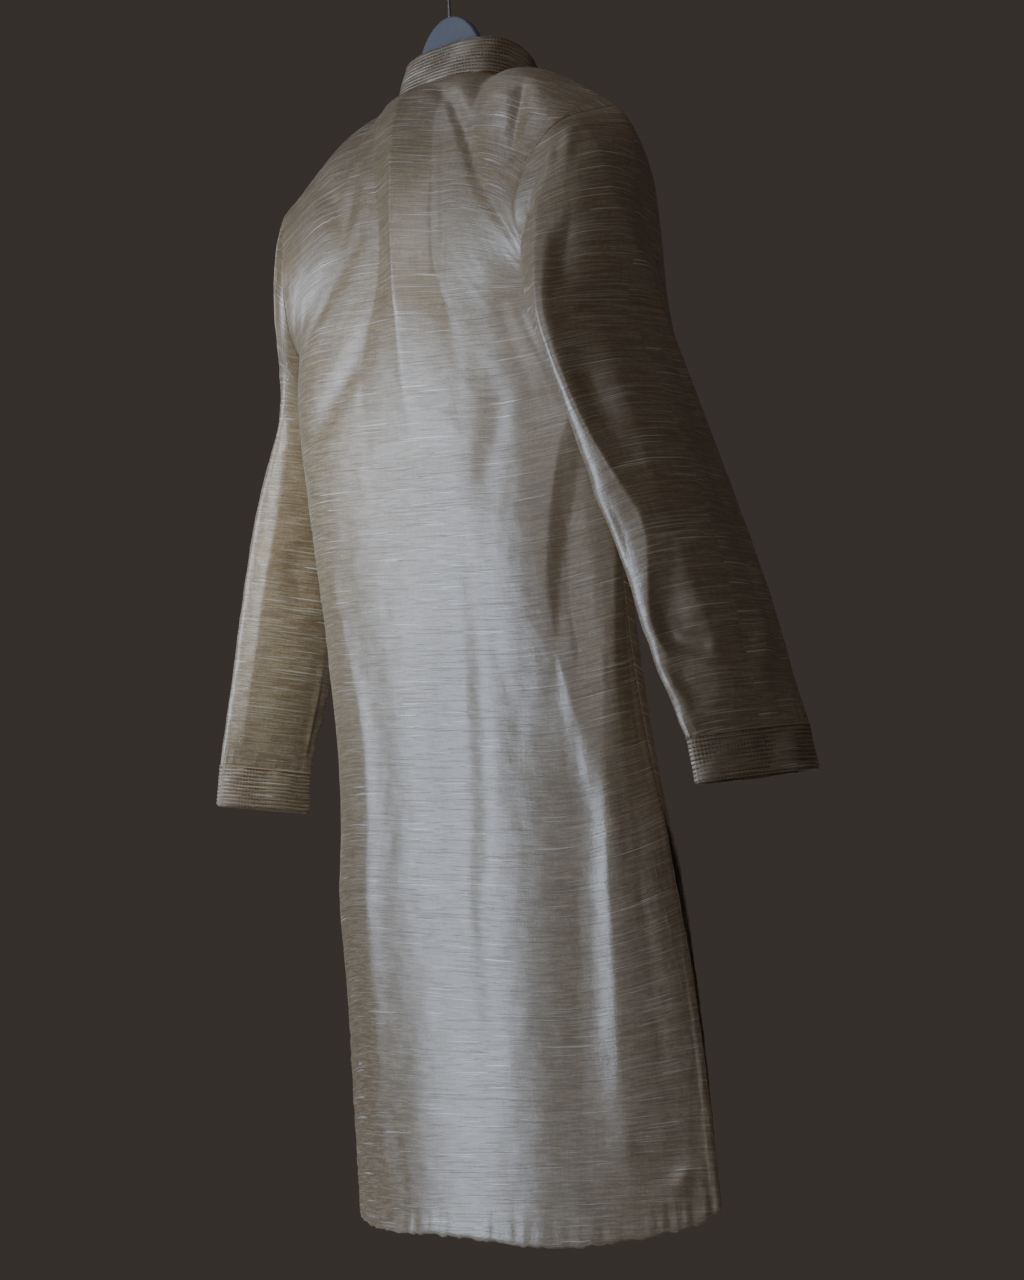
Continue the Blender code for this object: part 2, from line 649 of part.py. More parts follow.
ButtonTurn = namedtuple("ButtonTurn", "out up")  # shares of the button's radius and height
BUTTON_PROFILE = (
    ButtonTurn(0.00, 0.0),
    ButtonTurn(0.85, 0.0),
    ButtonTurn(1.00, 0.5),
    ButtonTurn(0.92, 1.0),
    ButtonTurn(0.70, 1.0),
    ButtonTurn(0.60, 0.7),
    ButtonTurn(0.00, 0.7),
)


def button(name, seat, normal, finish):
    """Turned button with a raised rim, its back just clear of the placket."""
    form = bmesh.new()
    line = []
    for turn in BUTTON_PROFILE:
        line.append(form.verts.new((turn.out * BUTTON_RADIUS, 0.0, turn.up * BUTTON_HEIGHT)))
    edges = [form.edges.new(pair) for pair in zip(line, line[1:])]
    bmesh.ops.spin(
        form,
        geom=line + edges,
        cent=(0, 0, 0),
        axis=(0, 0, 1),
        angle=2 * np.pi,
        steps=BUTTON_STEPS,
        use_duplicate=False,
    )
    bmesh.ops.remove_doubles(form, verts=form.verts, dist=0.00001)
    bmesh.ops.recalc_face_normals(form, faces=form.faces)
    turn = Vector((0, 0, 1)).rotation_difference(Vector(normal)).to_matrix().to_4x4()
    bmesh.ops.transform(form, matrix=turn, verts=form.verts)
    bmesh.ops.translate(form, vec=Vector(seat + normal * SEAM_GAP), verts=form.verts)
    mesh = bpy.data.meshes.new(name)
    form.to_mesh(mesh)
    form.free()
    mesh.shade_smooth()
    mesh.set_sharp_from_angle(angle=np.radians(BUTTON_CREASE))
    place(name, mesh, finish)


# --- Hanger --------------------------------------------------------------------------------------
def board_outline():
    """Outline of the hanger board: a domed head on two arms that slope to the shoulders."""
    reach = np.linspace(0, 1, BOARD_POINTS)
    start = DOME_HALF_WIDTH + DOME_SHOULDER
    upper = []
    for t in reach:
        x = start + (BOARD_HALF_LENGTH - start) * t
        clear = BOARD_SEAT + BOARD_NECK_DROP * (1 - t) ** 3 + BOARD_TIP_DROP * t**2
        upper.append((x, shoulder_level(x) - CLOTH - clear))
    dome = []
    foot = upper[0][1] + DOME_STEP
    for angle in np.linspace(0, np.pi / 2, DOME_POINTS):
        rise = (DOME_TOP - foot) * np.sin(angle) ** DOME_FULLNESS
        dome.append((DOME_HALF_WIDTH * np.cos(angle), foot + rise))
    lower = [(x, z - BOARD_DEPTH - BOARD_NECK_DEPTH * (1 - t)) for (x, z), t in zip(upper, reach)]
    middle = (0.0, upper[0][1] - BOARD_DEPTH - BOARD_NECK_DEPTH - BOARD_MIDDLE_DEPTH)
    half = [*dome[::-1], *upper, *lower[::-1]]
    mirrored = [(-x, z) for x, z in half[::-1] if x > 1e-6]
    return [*half, middle, *mirrored]


def shoulder_level(x):
    """Level of the shoulder seam at a distance from the middle."""
    us = np.linspace(NECK_SHARE, 1, 60)
    line = np.array([top_edge(BACK, u) for u in us])
    return np.interp(x, line[:, 0], line[:, 2])


def hanger_board(finish):
    """Flat board with rounded edges, extruded from its outline."""
    form = bmesh.new()
    near = HANGER_Y - BOARD_THICKNESS / 2
    front = [form.verts.new((x, near, z)) for x, z in board_outline()]
    face = form.faces.new(front)
    grown = bmesh.ops.extrude_face_region(form, geom=[face])
    moved = [v for v in grown["geom"] if isinstance(v, bmesh.types.BMVert)]
    bmesh.ops.translate(form, vec=(0, BOARD_THICKNESS, 0), verts=moved)
    bmesh.ops.recalc_face_normals(form, faces=form.faces)
    mesh = bpy.data.meshes.new("hanger_board")
    form.to_mesh(mesh)
    form.free()
    board = place("hanger_board", mesh, finish)
    rounding = board.modifiers.new("rounding", "BEVEL")
    rounding.width = 0.002
    rounding.segments = 2
    rounding.limit_method = "ANGLE"
    rounding.angle_limit = np.radians(50)


def hook_route():
    """Centre line of the hook: up from the dome, then round the crook to its free end."""
    middle = DOME_TOP + HOOK_STEM + HOOK_RADIUS
    foot = DOME_TOP + SEAM_GAP
    top = middle - HOOK_RADIUS - HOOK_BEND
    stem = [(0.0, z) for z in np.linspace(foot, top, HOOK_STEM_POINTS)]
    angles = np.radians(np.linspace(HOOK_START, HOOK_END, HOOK_CROOK_POINTS))
    crook = [(HOOK_RADIUS * np.cos(a), middle + HOOK_RADIUS * np.sin(a)) for a in angles]
    return [*stem, *crook]


def hanger_hook(finish):
    """Bent wire hook with rounded run into its crook."""
    curve = bpy.data.curves.new("hanger_hook", "CURVE")
    curve.dimensions = "3D"
    curve.bevel_depth = HOOK_WIRE_RADIUS
    curve.bevel_resolution = 2
    curve.use_fill_caps = True
    route = hook_route()
    line = curve.splines.new("POLY")
    line.points.add(len(route) - 1)
    for point, (x, z) in zip(line.points, route):
        point.co = (x, HANGER_Y, z, 1.0)
    hook = bpy.data.objects.new("hanger_hook", curve)
    hook.location = PLACE
    curve.materials.append(finish)
    bpy.context.scene.collection.objects.link(hook)


# --- Assembly ------------------------------------------------------------------------------------
def finish_of(name, colour, roughness, metallic):
    """Principled material with one colour."""
    material = bpy.data.materials.new(name)
    material.use_nodes = True
    shader = material.node_tree.nodes["Principled BSDF"]
    shader.inputs["Base Color"].default_value = (*colour, 1.0)
    shader.inputs["Roughness"].default_value = roughness
    shader.inputs["Metallic"].default_value = metallic
    return material


def clear_scene():
    """Empties the scene."""
    for item in list(bpy.data.objects):
        bpy.data.objects.remove(item, do_unlink=True)


def build():
    """Makes every piece of the tunic and its hanger."""
    clear_scene()
    silk = finish_of("ivory_silk", (0.78, 0.72, 0.60), 0.55, 0.0)
    shell = finish_of("button_shell", (0.80, 0.76, 0.66), 0.35, 0.0)
    plastic = finish_of("hanger_plastic", (0.78, 0.79, 0.80), 0.40, 0.0)
    wire = finish_of("hook_steel", (0.62, 0.62, 0.62), 0.25, 1.0)
    sewn_pieces(silk)
    cuff("cuff_left", LEFT_SLEEVE, 1.0, silk)
    cuff("cuff_right", RIGHT_SLEEVE, -1.0, silk)
    collar(silk)
    for number, (seat, normal) in enumerate(placket(silk), start=1):
        button(f"button_{number}", seat, normal, shell)
    hanger_board(plastic)
    hanger_hook(wire)


build()
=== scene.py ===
"""Dress of a kurta tunic on its hanger: slubbed silk, stitched bands, trims, light and camera.

Lengths are metres. Garment positions have the nape of the neck at z = 0; they are lowered by PLACE
into the frame, whose origin is the inside top of the hanger's hook. The wearer would face -Y, with
the wearer's left hand on +X. Cloth is cut on a grid: u runs across it and v down it.
"""

import logging
import math
from dataclasses import dataclass, field
from enum import Enum

import bmesh
import bpy
import numpy as np
from bpy.types import Material, Mesh, Node, NodeSocket, Object
from mathutils import Matrix, Vector


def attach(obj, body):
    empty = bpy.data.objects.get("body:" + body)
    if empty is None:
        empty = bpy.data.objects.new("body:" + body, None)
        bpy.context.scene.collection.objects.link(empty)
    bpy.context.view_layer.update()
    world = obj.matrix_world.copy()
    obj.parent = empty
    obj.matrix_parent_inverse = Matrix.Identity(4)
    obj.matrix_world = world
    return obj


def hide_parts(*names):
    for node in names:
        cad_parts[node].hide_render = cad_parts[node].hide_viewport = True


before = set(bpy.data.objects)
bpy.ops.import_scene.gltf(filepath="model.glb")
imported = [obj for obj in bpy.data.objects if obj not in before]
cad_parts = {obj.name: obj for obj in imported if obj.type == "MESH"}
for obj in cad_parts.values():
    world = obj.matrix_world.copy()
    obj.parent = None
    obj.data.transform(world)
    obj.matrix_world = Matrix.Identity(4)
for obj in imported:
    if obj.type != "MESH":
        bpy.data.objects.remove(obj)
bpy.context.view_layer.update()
LOG = logging.getLogger("kurta")
Array = np.ndarray

# --- Driving sizes, as in the solids ---
CLOTH = 0.0014
HEM_CLOTH = 0.0026
BAND_CLOTH = 0.0030
SEAM_GAP = 0.0003
ARMPIT_LEVEL = -0.262
SLIT_LEVEL = -0.690
YOKE_LENGTH = 0.27
SKIRT_LENGTH = 0.82
PANEL_HALF_WIDTH = 0.25
SLEEVE_ROUND = 0.34
CAP_LENGTH = 0.20
ARM_LENGTH = 0.34
HANGER_Y = -0.002
DOME_TOP = 0.074
HOOK_STEM = 0.045
HOOK_RADIUS = 0.019
HOOK_WIRE_RADIUS = 0.0016
HANG = DOME_TOP + HOOK_STEM + 2 * HOOK_RADIUS - HOOK_WIRE_RADIUS
PLACE = np.array([0.0, -HANGER_Y, -HANG])
TINY = 1e-6
SLIT_TACK = 0.004  # slit stitches start this far below its top


class Side(Enum):
    """The two halves of the body: which way each faces along Y."""

    BACK = 1.0
    FRONT = -1.0


class Hand(Enum):
    """The wearer's hands: which way each lies along X."""

    LEFT = 1.0
    RIGHT = -1.0


# --- Tables ---
@dataclass(frozen=True)
class BodyRing:
    """Section of the body. square 2 is an ellipse; lens 1 is two arcs that meet at the sides."""

    level: float
    half_width: float
    back_depth: float
    front_depth: float
    square: float
    lens: float
    x: float
    y: float


@dataclass(frozen=True)
class SleeveRing:
    """Section of a pressed sleeve: centre, half sizes, turn in degrees and crease from 0 to 1."""

    level: float
    x: float
    y: float
    half_out: float
    half_back: float
    turn: float
    crease: float


@dataclass(frozen=True)
class CapSetting:
    """How far out a sleeve's cap leaves the shoulder, and how far the arm turns at the armpit."""

    out: float
    pit_turn: float


@dataclass(frozen=True)
class ArmholePoint:
    """Armhole edge from shoulder tip to armpit, and the share of the panel's width left there."""

    share: float
    x: float
    y: float
    level: float
    reach: float


@dataclass(frozen=True)
class HemPoint:
    """How far the hem is lifted at a share of the panel's half width."""

    share: float
    rise: float


@dataclass(frozen=True)
class Fold:
    """Soft ridge along a path on the cloth, or a trough where height is negative.

    path is (u, v) places in shares of the cloth. sharp is 2 for a round profile and nearer 1 for a
    pressed one, and lean from -1 to 1 makes one flank steeper than the other. A pleat has straight
    flanks that start and end in a line.
    """

    path: tuple
    width: float
    height: float
    sharp: float = 2.0
    lean: float = 0.0
    pleat: bool = False

    def profile(self, away: Array) -> Array:
        """Share of the height left at a distance, in widths, from the path."""
        return np.clip(1 - away, 0, 1) if self.pleat else np.exp(-(away**self.sharp))


BODY_RINGS = (
    BodyRing(-0.262, 0.190, 0.092, 0.076, 3.0, 0.0, 0.000, 0.000),
    BodyRing(-0.380, 0.187, 0.086, 0.068, 2.7, 0.0, 0.003, 0.000),
    BodyRing(-0.500, 0.182, 0.080, 0.056, 2.4, 0.0, 0.000, -0.001),
    BodyRing(-0.620, 0.186, 0.076, 0.052, 2.2, 0.0, -0.006, -0.004),
    BodyRing(-0.740, 0.203, 0.076, 0.044, 2.2, 0.2, -0.006, -0.014),
    BodyRing(-0.860, 0.216, 0.080, 0.038, 2.2, 0.6, -0.006, -0.025),
    BodyRing(-1.000, 0.223, 0.088, 0.034, 2.2, 0.9, -0.004, -0.033),
    BodyRing(-1.110, 0.228, 0.094, 0.030, 2.2, 1.0, -0.002, -0.038),
)
HEM_RISE = (
    HemPoint(-1.00, 0.033),
    HemPoint(-0.60, 0.012),
    HemPoint(-0.25, 0.002),
    HemPoint(-0.05, 0.010),
    HemPoint(0.10, 0.014),
    HemPoint(0.30, 0.015),
    HemPoint(0.50, 0.018),
    HemPoint(1.00, 0.028),
)
SLEEVES = {
    Hand.RIGHT: (
        SleeveRing(-0.300, -0.230, 0.052, 0.024, 0.079, 4.0, 0.0),
        SleeveRing(-0.400, -0.256, 0.035, 0.028, 0.074, 8.0, 0.2),
        SleeveRing(-0.530, -0.288, 0.015, 0.026, 0.067, 14.0, 0.3),
        SleeveRing(-0.648, -0.312, -0.002, 0.017, 0.061, 20.0, 0.1),
    ),
    Hand.LEFT: (
        SleeveRing(-0.300, 0.220, -0.019, 0.018, 0.060, 0.0, 0.0),
        SleeveRing(-0.400, 0.253, -0.015, 0.023, 0.062, -2.0, 0.2),
        SleeveRing(-0.530, 0.283, -0.010, 0.024, 0.060, -5.0, 0.3),
        SleeveRing(-0.618, 0.305, -0.003, 0.017, 0.053, -8.0, 0.1),
    ),
}
CAPS = {Hand.LEFT: CapSetting(0.25, -0.10), Hand.RIGHT: CapSetting(0.86, 0.45)}
ARMHOLES = {
    Side.BACK: (
        ArmholePoint(0.00, 0.208, 0.003, -0.068, 1.00),
        ArmholePoint(0.25, 0.187, 0.060, -0.090, 0.90),
        ArmholePoint(0.50, 0.163, 0.083, -0.134, 0.70),
        ArmholePoint(0.72, 0.156, 0.086, -0.186, 0.57),
        ArmholePoint(0.88, 0.169, 0.060, -0.228, 0.66),
        ArmholePoint(1.00, 0.190, 0.000, -0.262, 1.00),
    ),
    Side.FRONT: (
        ArmholePoint(0.00, 0.208, 0.003, -0.068, 1.00),
        ArmholePoint(0.25, 0.187, -0.042, -0.091, 0.90),
        ArmholePoint(0.50, 0.165, -0.060, -0.136, 0.75),
        ArmholePoint(0.72, 0.158, -0.066, -0.188, 0.60),
        ArmholePoint(0.88, 0.168, -0.050, -0.228, 0.62),
        ArmholePoint(1.00, 0.190, 0.000, -0.262, 1.00),
    ),
}


# --- Small maths ---
def along(table: tuple, column: str, at: Array, key: str = "level") -> Array:
    """Reads a table on a smooth curve through its rows.

    Args:
        table: Rows of one of the table classes.
        column: Field to read.
        at: Values of the key to read it at.
        key: Field that the rows are ordered by.

    Returns:
        The column's values, shaped like at.
    """
    rows = sorted(table, key=lambda row: getattr(row, key))
    keys = np.array([getattr(row, key) for row in rows])
    values = np.array([getattr(row, column) for row in rows])
    slopes = np.gradient(values, keys)
    at = np.clip(at, keys[0], keys[-1])
    i = np.clip(np.searchsorted(keys, at, side="right") - 1, 0, len(keys) - 2)
    span = keys[i + 1] - keys[i]
    s = (at - keys[i]) / span
    ends = (2 * s**3 - 3 * s**2 + 1) * values[i] + (3 * s**2 - 2 * s**3) * values[i + 1]
    bends = (s**3 - 2 * s**2 + s) * slopes[i] + (s**3 - s**2) * slopes[i + 1]
    return ends + bends * span


def smooth(s: Array) -> Array:
    """Eased step from 0 at s = 0 to 1 at s = 1."""
    s = np.clip(s, 0.0, 1.0)
    return s * s * (3 - 2 * s)


def squared(angle: Array, square: Array) -> Array:
    """Reach of a squared circle at an angle: square 2 is a circle and more is boxier."""
    return (abs(np.sin(angle)) ** square + abs(np.cos(angle)) ** square) ** (-1 / square)


def unit(vectors: Array) -> Array:
    """Vectors scaled to length one along their last axis."""
    return vectors / np.maximum(np.linalg.norm(vectors, axis=-1, keepdims=True), 1e-12)


def stack(*parts: Array) -> Array:
    """Arrays broadcast together and stacked as the coordinates of points."""
    return np.stack(np.broadcast_arrays(*parts), axis=-1)


def travelled(path: Array, axis: int = 0) -> Array:
    """Distance travelled at each point of a path, or of many paths side by side.

    Args:
        path: Points, their coordinates last.
        axis: Axis that runs along the path.

    Returns:
        Distances from the start, 0 at its first point.
    """
    steps = np.linalg.norm(np.diff(path, axis=axis), axis=-1)
    start = np.zeros_like(np.take(steps, [0], axis=axis))
    return np.concatenate([start, np.cumsum(steps, axis=axis)], axis=axis)


def looped(path: Array) -> Array:
    """Path with its first point repeated at its end."""
    return np.concatenate([path, path[:1]])


def resampled(path: Array, step: float) -> Array:
    """Path with points at even steps.

    Args:
        path: Points of the path.
        step: About how far apart the new points are.

    Returns:
        The new points, both ends kept.
    """
    run = travelled(path)
    count = max(int(round(run[-1] / step)), 2)
    at = np.linspace(0, run[-1], count + 1)
    return np.stack([np.interp(at, run, path[:, k]) for k in range(path.shape[1])], axis=1)


def curve_through(places: Array, count: int) -> Array:
    """Smooth curve through places.

    Args:
        places: Places in order.
        count: How many points to give.

    Returns:
        Points of the curve, from the first place to the last.
    """
    ends = [2 * places[0] - places[1], *places, 2 * places[-1] - places[-2]]
    spans = len(places) - 1
    points = []
    for t in np.linspace(0, spans, count):
        i = min(int(t), spans - 1)
        s = t - i
        a, b, c, d = ends[i : i + 4]
        bend = (2 * a - 5 * b + 4 * c - d) * s + (3 * b - a - 3 * c + d) * s * s
        points.append(b + s * (c - a + bend) / 2)
    return np.array(points)


def rows_over(first: int, second: int) -> Array:
    """Even rows over both parts of a cloth, from 0 to 1 and from there to 2."""
    return np.concatenate([np.linspace(0, 1, first + 1), np.linspace(1, 2, second + 1)[1:]])


def turn_between(share: Array, middle: float) -> Array:
    """Turn from a middle to each share of a turn, the short way round."""
    return (share - middle + 0.5) % 1.0 - 0.5


def grid_normals(points: Array, closed: bool = False) -> Array:
    """Unit normals of a grid of points.

    Args:
        points: The grid, its rows running down and its columns running around.
        closed: Whether its last column meets its first.

    Returns:
        Normals, shaped like the points.
    """
    down = np.gradient(points, axis=0)
    if closed:
        across = np.roll(points, -1, axis=1) - np.roll(points, 1, axis=1)
    else:
        across = np.gradient(points, axis=1)
    return unit(np.cross(down, across))


# --- Shapes the cloth follows ---
@dataclass(frozen=True)
class BodyShape:
    """How the cloth of the body hangs from neckline, shoulders and armholes, before its folds."""

    neck_square: float = 2.5
    throat_square: float = 2.0
    neck_half_width: float = 0.072
    neck_half_depth: float = 0.055
    neck_centre_y: float = -0.022
    neck_fall: float = 3.6
    neck_share: float = 10 / 28
    back_neck_drop: float = 0.12
    front_neck_ease: float = 1.2
    neck_level_share: float = 0.5
    shoulder_crown: float = 0.017
    crown_lean: float = 0.7
    left_shoulder_draw: float = 0.018
    draw_ease: float = 1.4
    armhole_pull: float = 3.0
    back_hem: float = -1.082
    front_hem: float = -1.070
    slit_gap: float = 0.012
    slit_ease: float = 0.080
    front_narrow: float = 0.012
    front_narrow_ease: float = 0.30

    @property
    def neck_side_angle(self) -> float:
        """Angle round the neckline where the shoulder seam starts."""
        return math.acos(-self.neck_centre_y / self.neck_half_depth)

    def neck(self, angle: Array) -> Array:
        """Points of the neckline; angle 0 is the nape, a quarter turn the wearer's left side.

        Args:
            angle: Angles round the neck.

        Returns:
            A point for each angle.
        """
        square = np.where(np.cos(angle) > 0, self.neck_square, self.throat_square)
        reach = squared(angle, square)
        forward = self.neck_half_depth * (reach * np.cos(angle) - 1)
        x = self.neck_half_width * reach * np.sin(angle)
        y = self.neck_centre_y + self.neck_half_depth + forward
        return stack(x, y, -self.neck_fall * forward**2)

    def armhole(self, side: Side, hand: Array, share: Array) -> Array:
        """Points of a panel's edge at the armhole, from shoulder tip to armpit.

        Args:
            side: Half of the body.
            hand: 1 for the left and -1 for the right.
            share: Shares of the way down.

        Returns:
            A point for each share.
        """
        table = ARMHOLES[side]
        x, y, z = (along(table, column, share, key="share") for column in ("x", "y", "level"))
        draw = np.where(hand > 0, self.left_shoulder_draw, 0.0) * (1 - share) ** self.draw_ease
        return stack((x - draw) * hand, y, z)

    def top_edge(self, side: Side, u: Array) -> Array:
        """Top of a panel: the neckline in its middle, then the shoulder seams.

        Args:
            side: Half of the body.
            u: Places across, from -1 to 1.

        Returns:
            A point for each place.
        """
        hand = np.where(u >= 0, 1.0, -1.0)
        reach = abs(u) / self.neck_share
        start = 0.0 if side is Side.BACK else math.pi
        neck = self.neck(start + (self.neck_side_angle - start) * np.minimum(reach, 1))
        t = np.maximum(reach - 1, 0) * self.neck_share / (1 - self.neck_share)
        inner = self.neck(np.array(self.neck_side_angle))
        tip = self.armhole(side, hand, np.zeros_like(u)) * stack(hand, 1, 1)
        seam = inner + (tip - inner) * t[..., None]
        seam[..., 2] += self.shoulder_crown * np.sin(np.pi * t**self.crown_lean)
        edge = np.where((reach <= 1)[..., None], neck, seam)
        return edge * stack(hand, 1, 1)

    def hang(self, side: Side, u: Array, level: Array) -> Array:
        """Points of a panel below the armpit.

        Args:
            side: Half of the body.
            u: Places across, from -1 to 1.
            level: Their levels.

        Returns:
            A point for each place.
        """
        angle = u * np.pi / 2
        reach = squared(angle, along(BODY_RINGS, "square", level))
        across = reach * np.sin(angle)
        lens = along(BODY_RINGS, "lens", level)
        out = reach * np.cos(angle) * (1 - lens) + (1 - across**2) * lens
        depth = along(BODY_RINGS, "back_depth" if side is Side.BACK else "front_depth", level)
        half_width = along(BODY_RINGS, "half_width", level)
        if side is Side.FRONT:
            below = smooth((SLIT_LEVEL - level) / self.front_narrow_ease)
            half_width = half_width - self.front_narrow * below
        gap = self.slit_gap / 2 * smooth((SLIT_LEVEL - level) / self.slit_ease)
        x = along(BODY_RINGS, "x", level) + half_width * across
        y = along(BODY_RINGS, "y", level) + side.value * (depth * out + gap)
        return stack(x, y, level)

    def drape(self, side: Side, u: Array, t: Array) -> Array:
        """Yoke cloth hung from the top edge to the armpit level, before the armhole is cut.

        Args:
            side: Half of the body.
            u: Places across, from -1 to 1.
            t: Shares of the way down.

        Returns:
            A point for each place.
        """
        top = self.top_edge(side, u)
        low = self.hang(side, u, np.full_like(u, ARMPIT_LEVEL))
        quarter = np.pi / 2 * t
        if side is Side.BACK:
            neck = self.back_neck_drop * (1 - smooth(abs(u) / self.neck_share))
        else:
            from_level = abs(u) / self.neck_share - self.neck_level_share
            neck = 1 - smooth(from_level / self.front_neck_ease)
        shelf = stack(smooth(t), np.sin(quarter), 1 - np.cos(quarter))
        return top + (low - top) * (shelf * (1 - neck)[..., None] + (t * neck)[..., None])

    def hem_level(self, side: Side, u: Array) -> Array:
        """Level of the hem across a panel."""
        level = self.back_hem if side is Side.BACK else self.front_hem
        return level + along(HEM_RISE, "rise", u, key="share")

    def panel(self, side: Side, u: Array, v: Array) -> Array:
        """Points of a panel: v is 0 to 1 over the yoke and 1 to 2 from the armpit to the hem.

        Args:
            side: Half of the body.
            u: Places across, from -1 to 1.
            v: Places down the panel.

        Returns:
            A point for each place.
        """
        hand = np.where(u >= 0, 1.0, -1.0)
        share = np.minimum(v, 1.0)
        reach = along(ARMHOLES[side], "reach", share, key="share")
        pull = self.armhole(side, hand, share) - self.drape(side, hand * reach, share)
        yoke = self.drape(side, u * reach, share)
        yoke = yoke + pull * (abs(u) ** self.armhole_pull)[..., None]
        fall = (self.hem_level(side, u) - ARMPIT_LEVEL) * np.maximum(v - 1, 0)
        skirt = self.hang(side, u, ARMPIT_LEVEL + fall)
        return np.where((v <= 1)[..., None], yoke, skirt)


@dataclass(frozen=True)
class SleeveShape:
    """How a set-in sleeve hangs from its armhole, pressed flat towards the cuff."""

    hand: Hand
    body: BodyShape
    under_out: float = 0.68
    cap_fall: float = 0.55
    cap_ease: float = 0.30
    cap_landing: float = 0.010
    level_step: float = 0.004

    @property
    def rings(self) -> tuple:
        """The sleeve's sections below its cap."""
        return SLEEVES[self.hand]

    def axis(self, level: Array) -> Array:
        """Centres of the sleeve at levels."""
        return stack(along(self.rings, "x", level), along(self.rings, "y", level), level)

    def run(self, level: Array) -> Array:
        """Directions of the sleeve at levels, towards the cuff."""
        return unit(self.axis(level - self.level_step) - self.axis(level + self.level_step))

    def section(self, level: Array, angle: Array) -> Array:
        """Points of the pressed section; angle 0 is outward and a quarter turn is to the back.

        Args:
            level: Levels of the sections.
            angle: Angles round the sleeve.

        Returns:
            A point for each angle.
        """
        down = self.run(level)
        turn = np.radians(along(self.rings, "turn", level))
        back = stack(-self.hand.value * np.sin(turn), np.cos(turn), 0.0)
        back = unit(back - down * (back * down).sum(axis=-1, keepdims=True))
        out = np.cross(back, down)
        out = out * np.sign(out[..., :1] * self.hand.value)
        angle = angle + CAPS[self.hand].pit_turn * (1 - np.cos(angle)) / 2
        crease = along(self.rings, "crease", level)
        bulge = np.cos(angle) * (1 - crease + crease * abs(np.cos(angle)))
        half_out = along(self.rings, "half_out", level) * bulge
        half_back = along(self.rings, "half_back", level) * np.sin(angle)
        return self.axis(level) + out * half_out[..., None] + back * half_back[..., None]

    def seam(self, angle: Array) -> Array:
        """Points of the armhole seam at angles round the sleeve.

        Args:
            angle: Angles round the sleeve.

        Returns:
            A point for each angle.
        """
        share = angle / np.pi
        hand = np.full_like(angle, self.hand.value)
        back = self.body.armhole(Side.BACK, hand, np.clip(share, 0, 1))
        front = self.body.armhole(Side.FRONT, hand, np.clip(2 - share, 0, 1))
        return np.where((share <= 1)[..., None], back, front)

    def surface(self, w: Array, angle: Array) -> Array:
        """Points of the sleeve: w is 0 to 1 over the cap and 1 to 2 from there to the cuff.

        Args:
            w: Places along the sleeve.
            angle: Angles round it.

        Returns:
            A point for each place.
        """
        first, last = self.rings[0].level, self.rings[-1].level
        seam = self.seam(angle)
        low = self.section(np.full_like(angle, first), angle)
        below = self.section(np.full_like(angle, first - self.cap_landing), angle)
        travel = unit(below - low)
        top = (1 + np.cos(angle)) / 2
        reach = np.linalg.norm(low - seam, axis=-1, keepdims=True)
        out = self.under_out + (CAPS[self.hand].out - self.under_out) * top
        leave = unit(stack(self.hand.value * out, 0.0, -self.cap_fall))
        t = np.minimum(w, 1)[..., None]
        one, two = seam + leave * reach * self.cap_ease, low - travel * reach * self.cap_ease
        cap = seam * (1 - t) ** 3 + 3 * one * t * (1 - t) ** 2 + 3 * two * t * t * (1 - t)
        cap = cap + low * t**3
        arm = self.section(first + (last - first) * np.maximum(w - 1, 0), angle)
        return np.where((w <= 1)[..., None], cap, arm)


# --- Relief of the cloth ---
FOLD_POINTS = 28
FOLD_REACH = 3  # widths to each side within which a fold is felt
FOLD_SWELL = 0.7


@dataclass(frozen=True)
class FlatScale:
    """Size of a flat cloth: its half width or round, and its lengths for v 0 to 1 and 1 to 2."""

    across: float
    first: float
    second: float
    period: float = 0.0

    def place(self, u: Array, v: Array) -> Array:
        """Cloth metres of shares of the cloth."""
        down = self.first * np.minimum(v, 1.0) + self.second * np.maximum(v - 1.0, 0.0)
        return stack(u * self.across, down)


PANEL_SCALE = FlatScale(PANEL_HALF_WIDTH, YOKE_LENGTH, SKIRT_LENGTH)
SLEEVE_SCALE = FlatScale(SLEEVE_ROUND, CAP_LENGTH, ARM_LENGTH, period=SLEEVE_ROUND)


def fold_lift(fold: Fold, route: Array, shift: float, spots: Array) -> Array:
    """Lift of cloth positions by one fold.

    Args:
        fold: The fold.
        route: Points of its path in cloth metres.
        shift: How far the path is moved across the cloth.
        spots: Cloth positions near the path.

    Returns:
        Height in metres at every position.
    """
    steps = np.diff(route, axis=0)
    here = spots[:, None, :] - (route + [shift, 0.0])[None, :-1]
    s = np.clip((here * steps).sum(-1) / (steps**2).sum(-1), 0, 1)
    off = here - steps * s[..., None]
    away = np.linalg.norm(off, axis=-1)
    best = away.argmin(axis=1)
    pick = (np.arange(len(best)), best)
    side = np.sign(steps[best, 1] * off[pick][:, 0] - steps[best, 0] * off[pick][:, 1])
    share = (best + s[pick]) / len(steps)
    swell = np.sin(np.pi * np.clip(share, 0, 1)) ** FOLD_SWELL
    width = fold.width * (1 + fold.lean * side)
    return fold.height * swell * fold.profile(away[pick] / width)


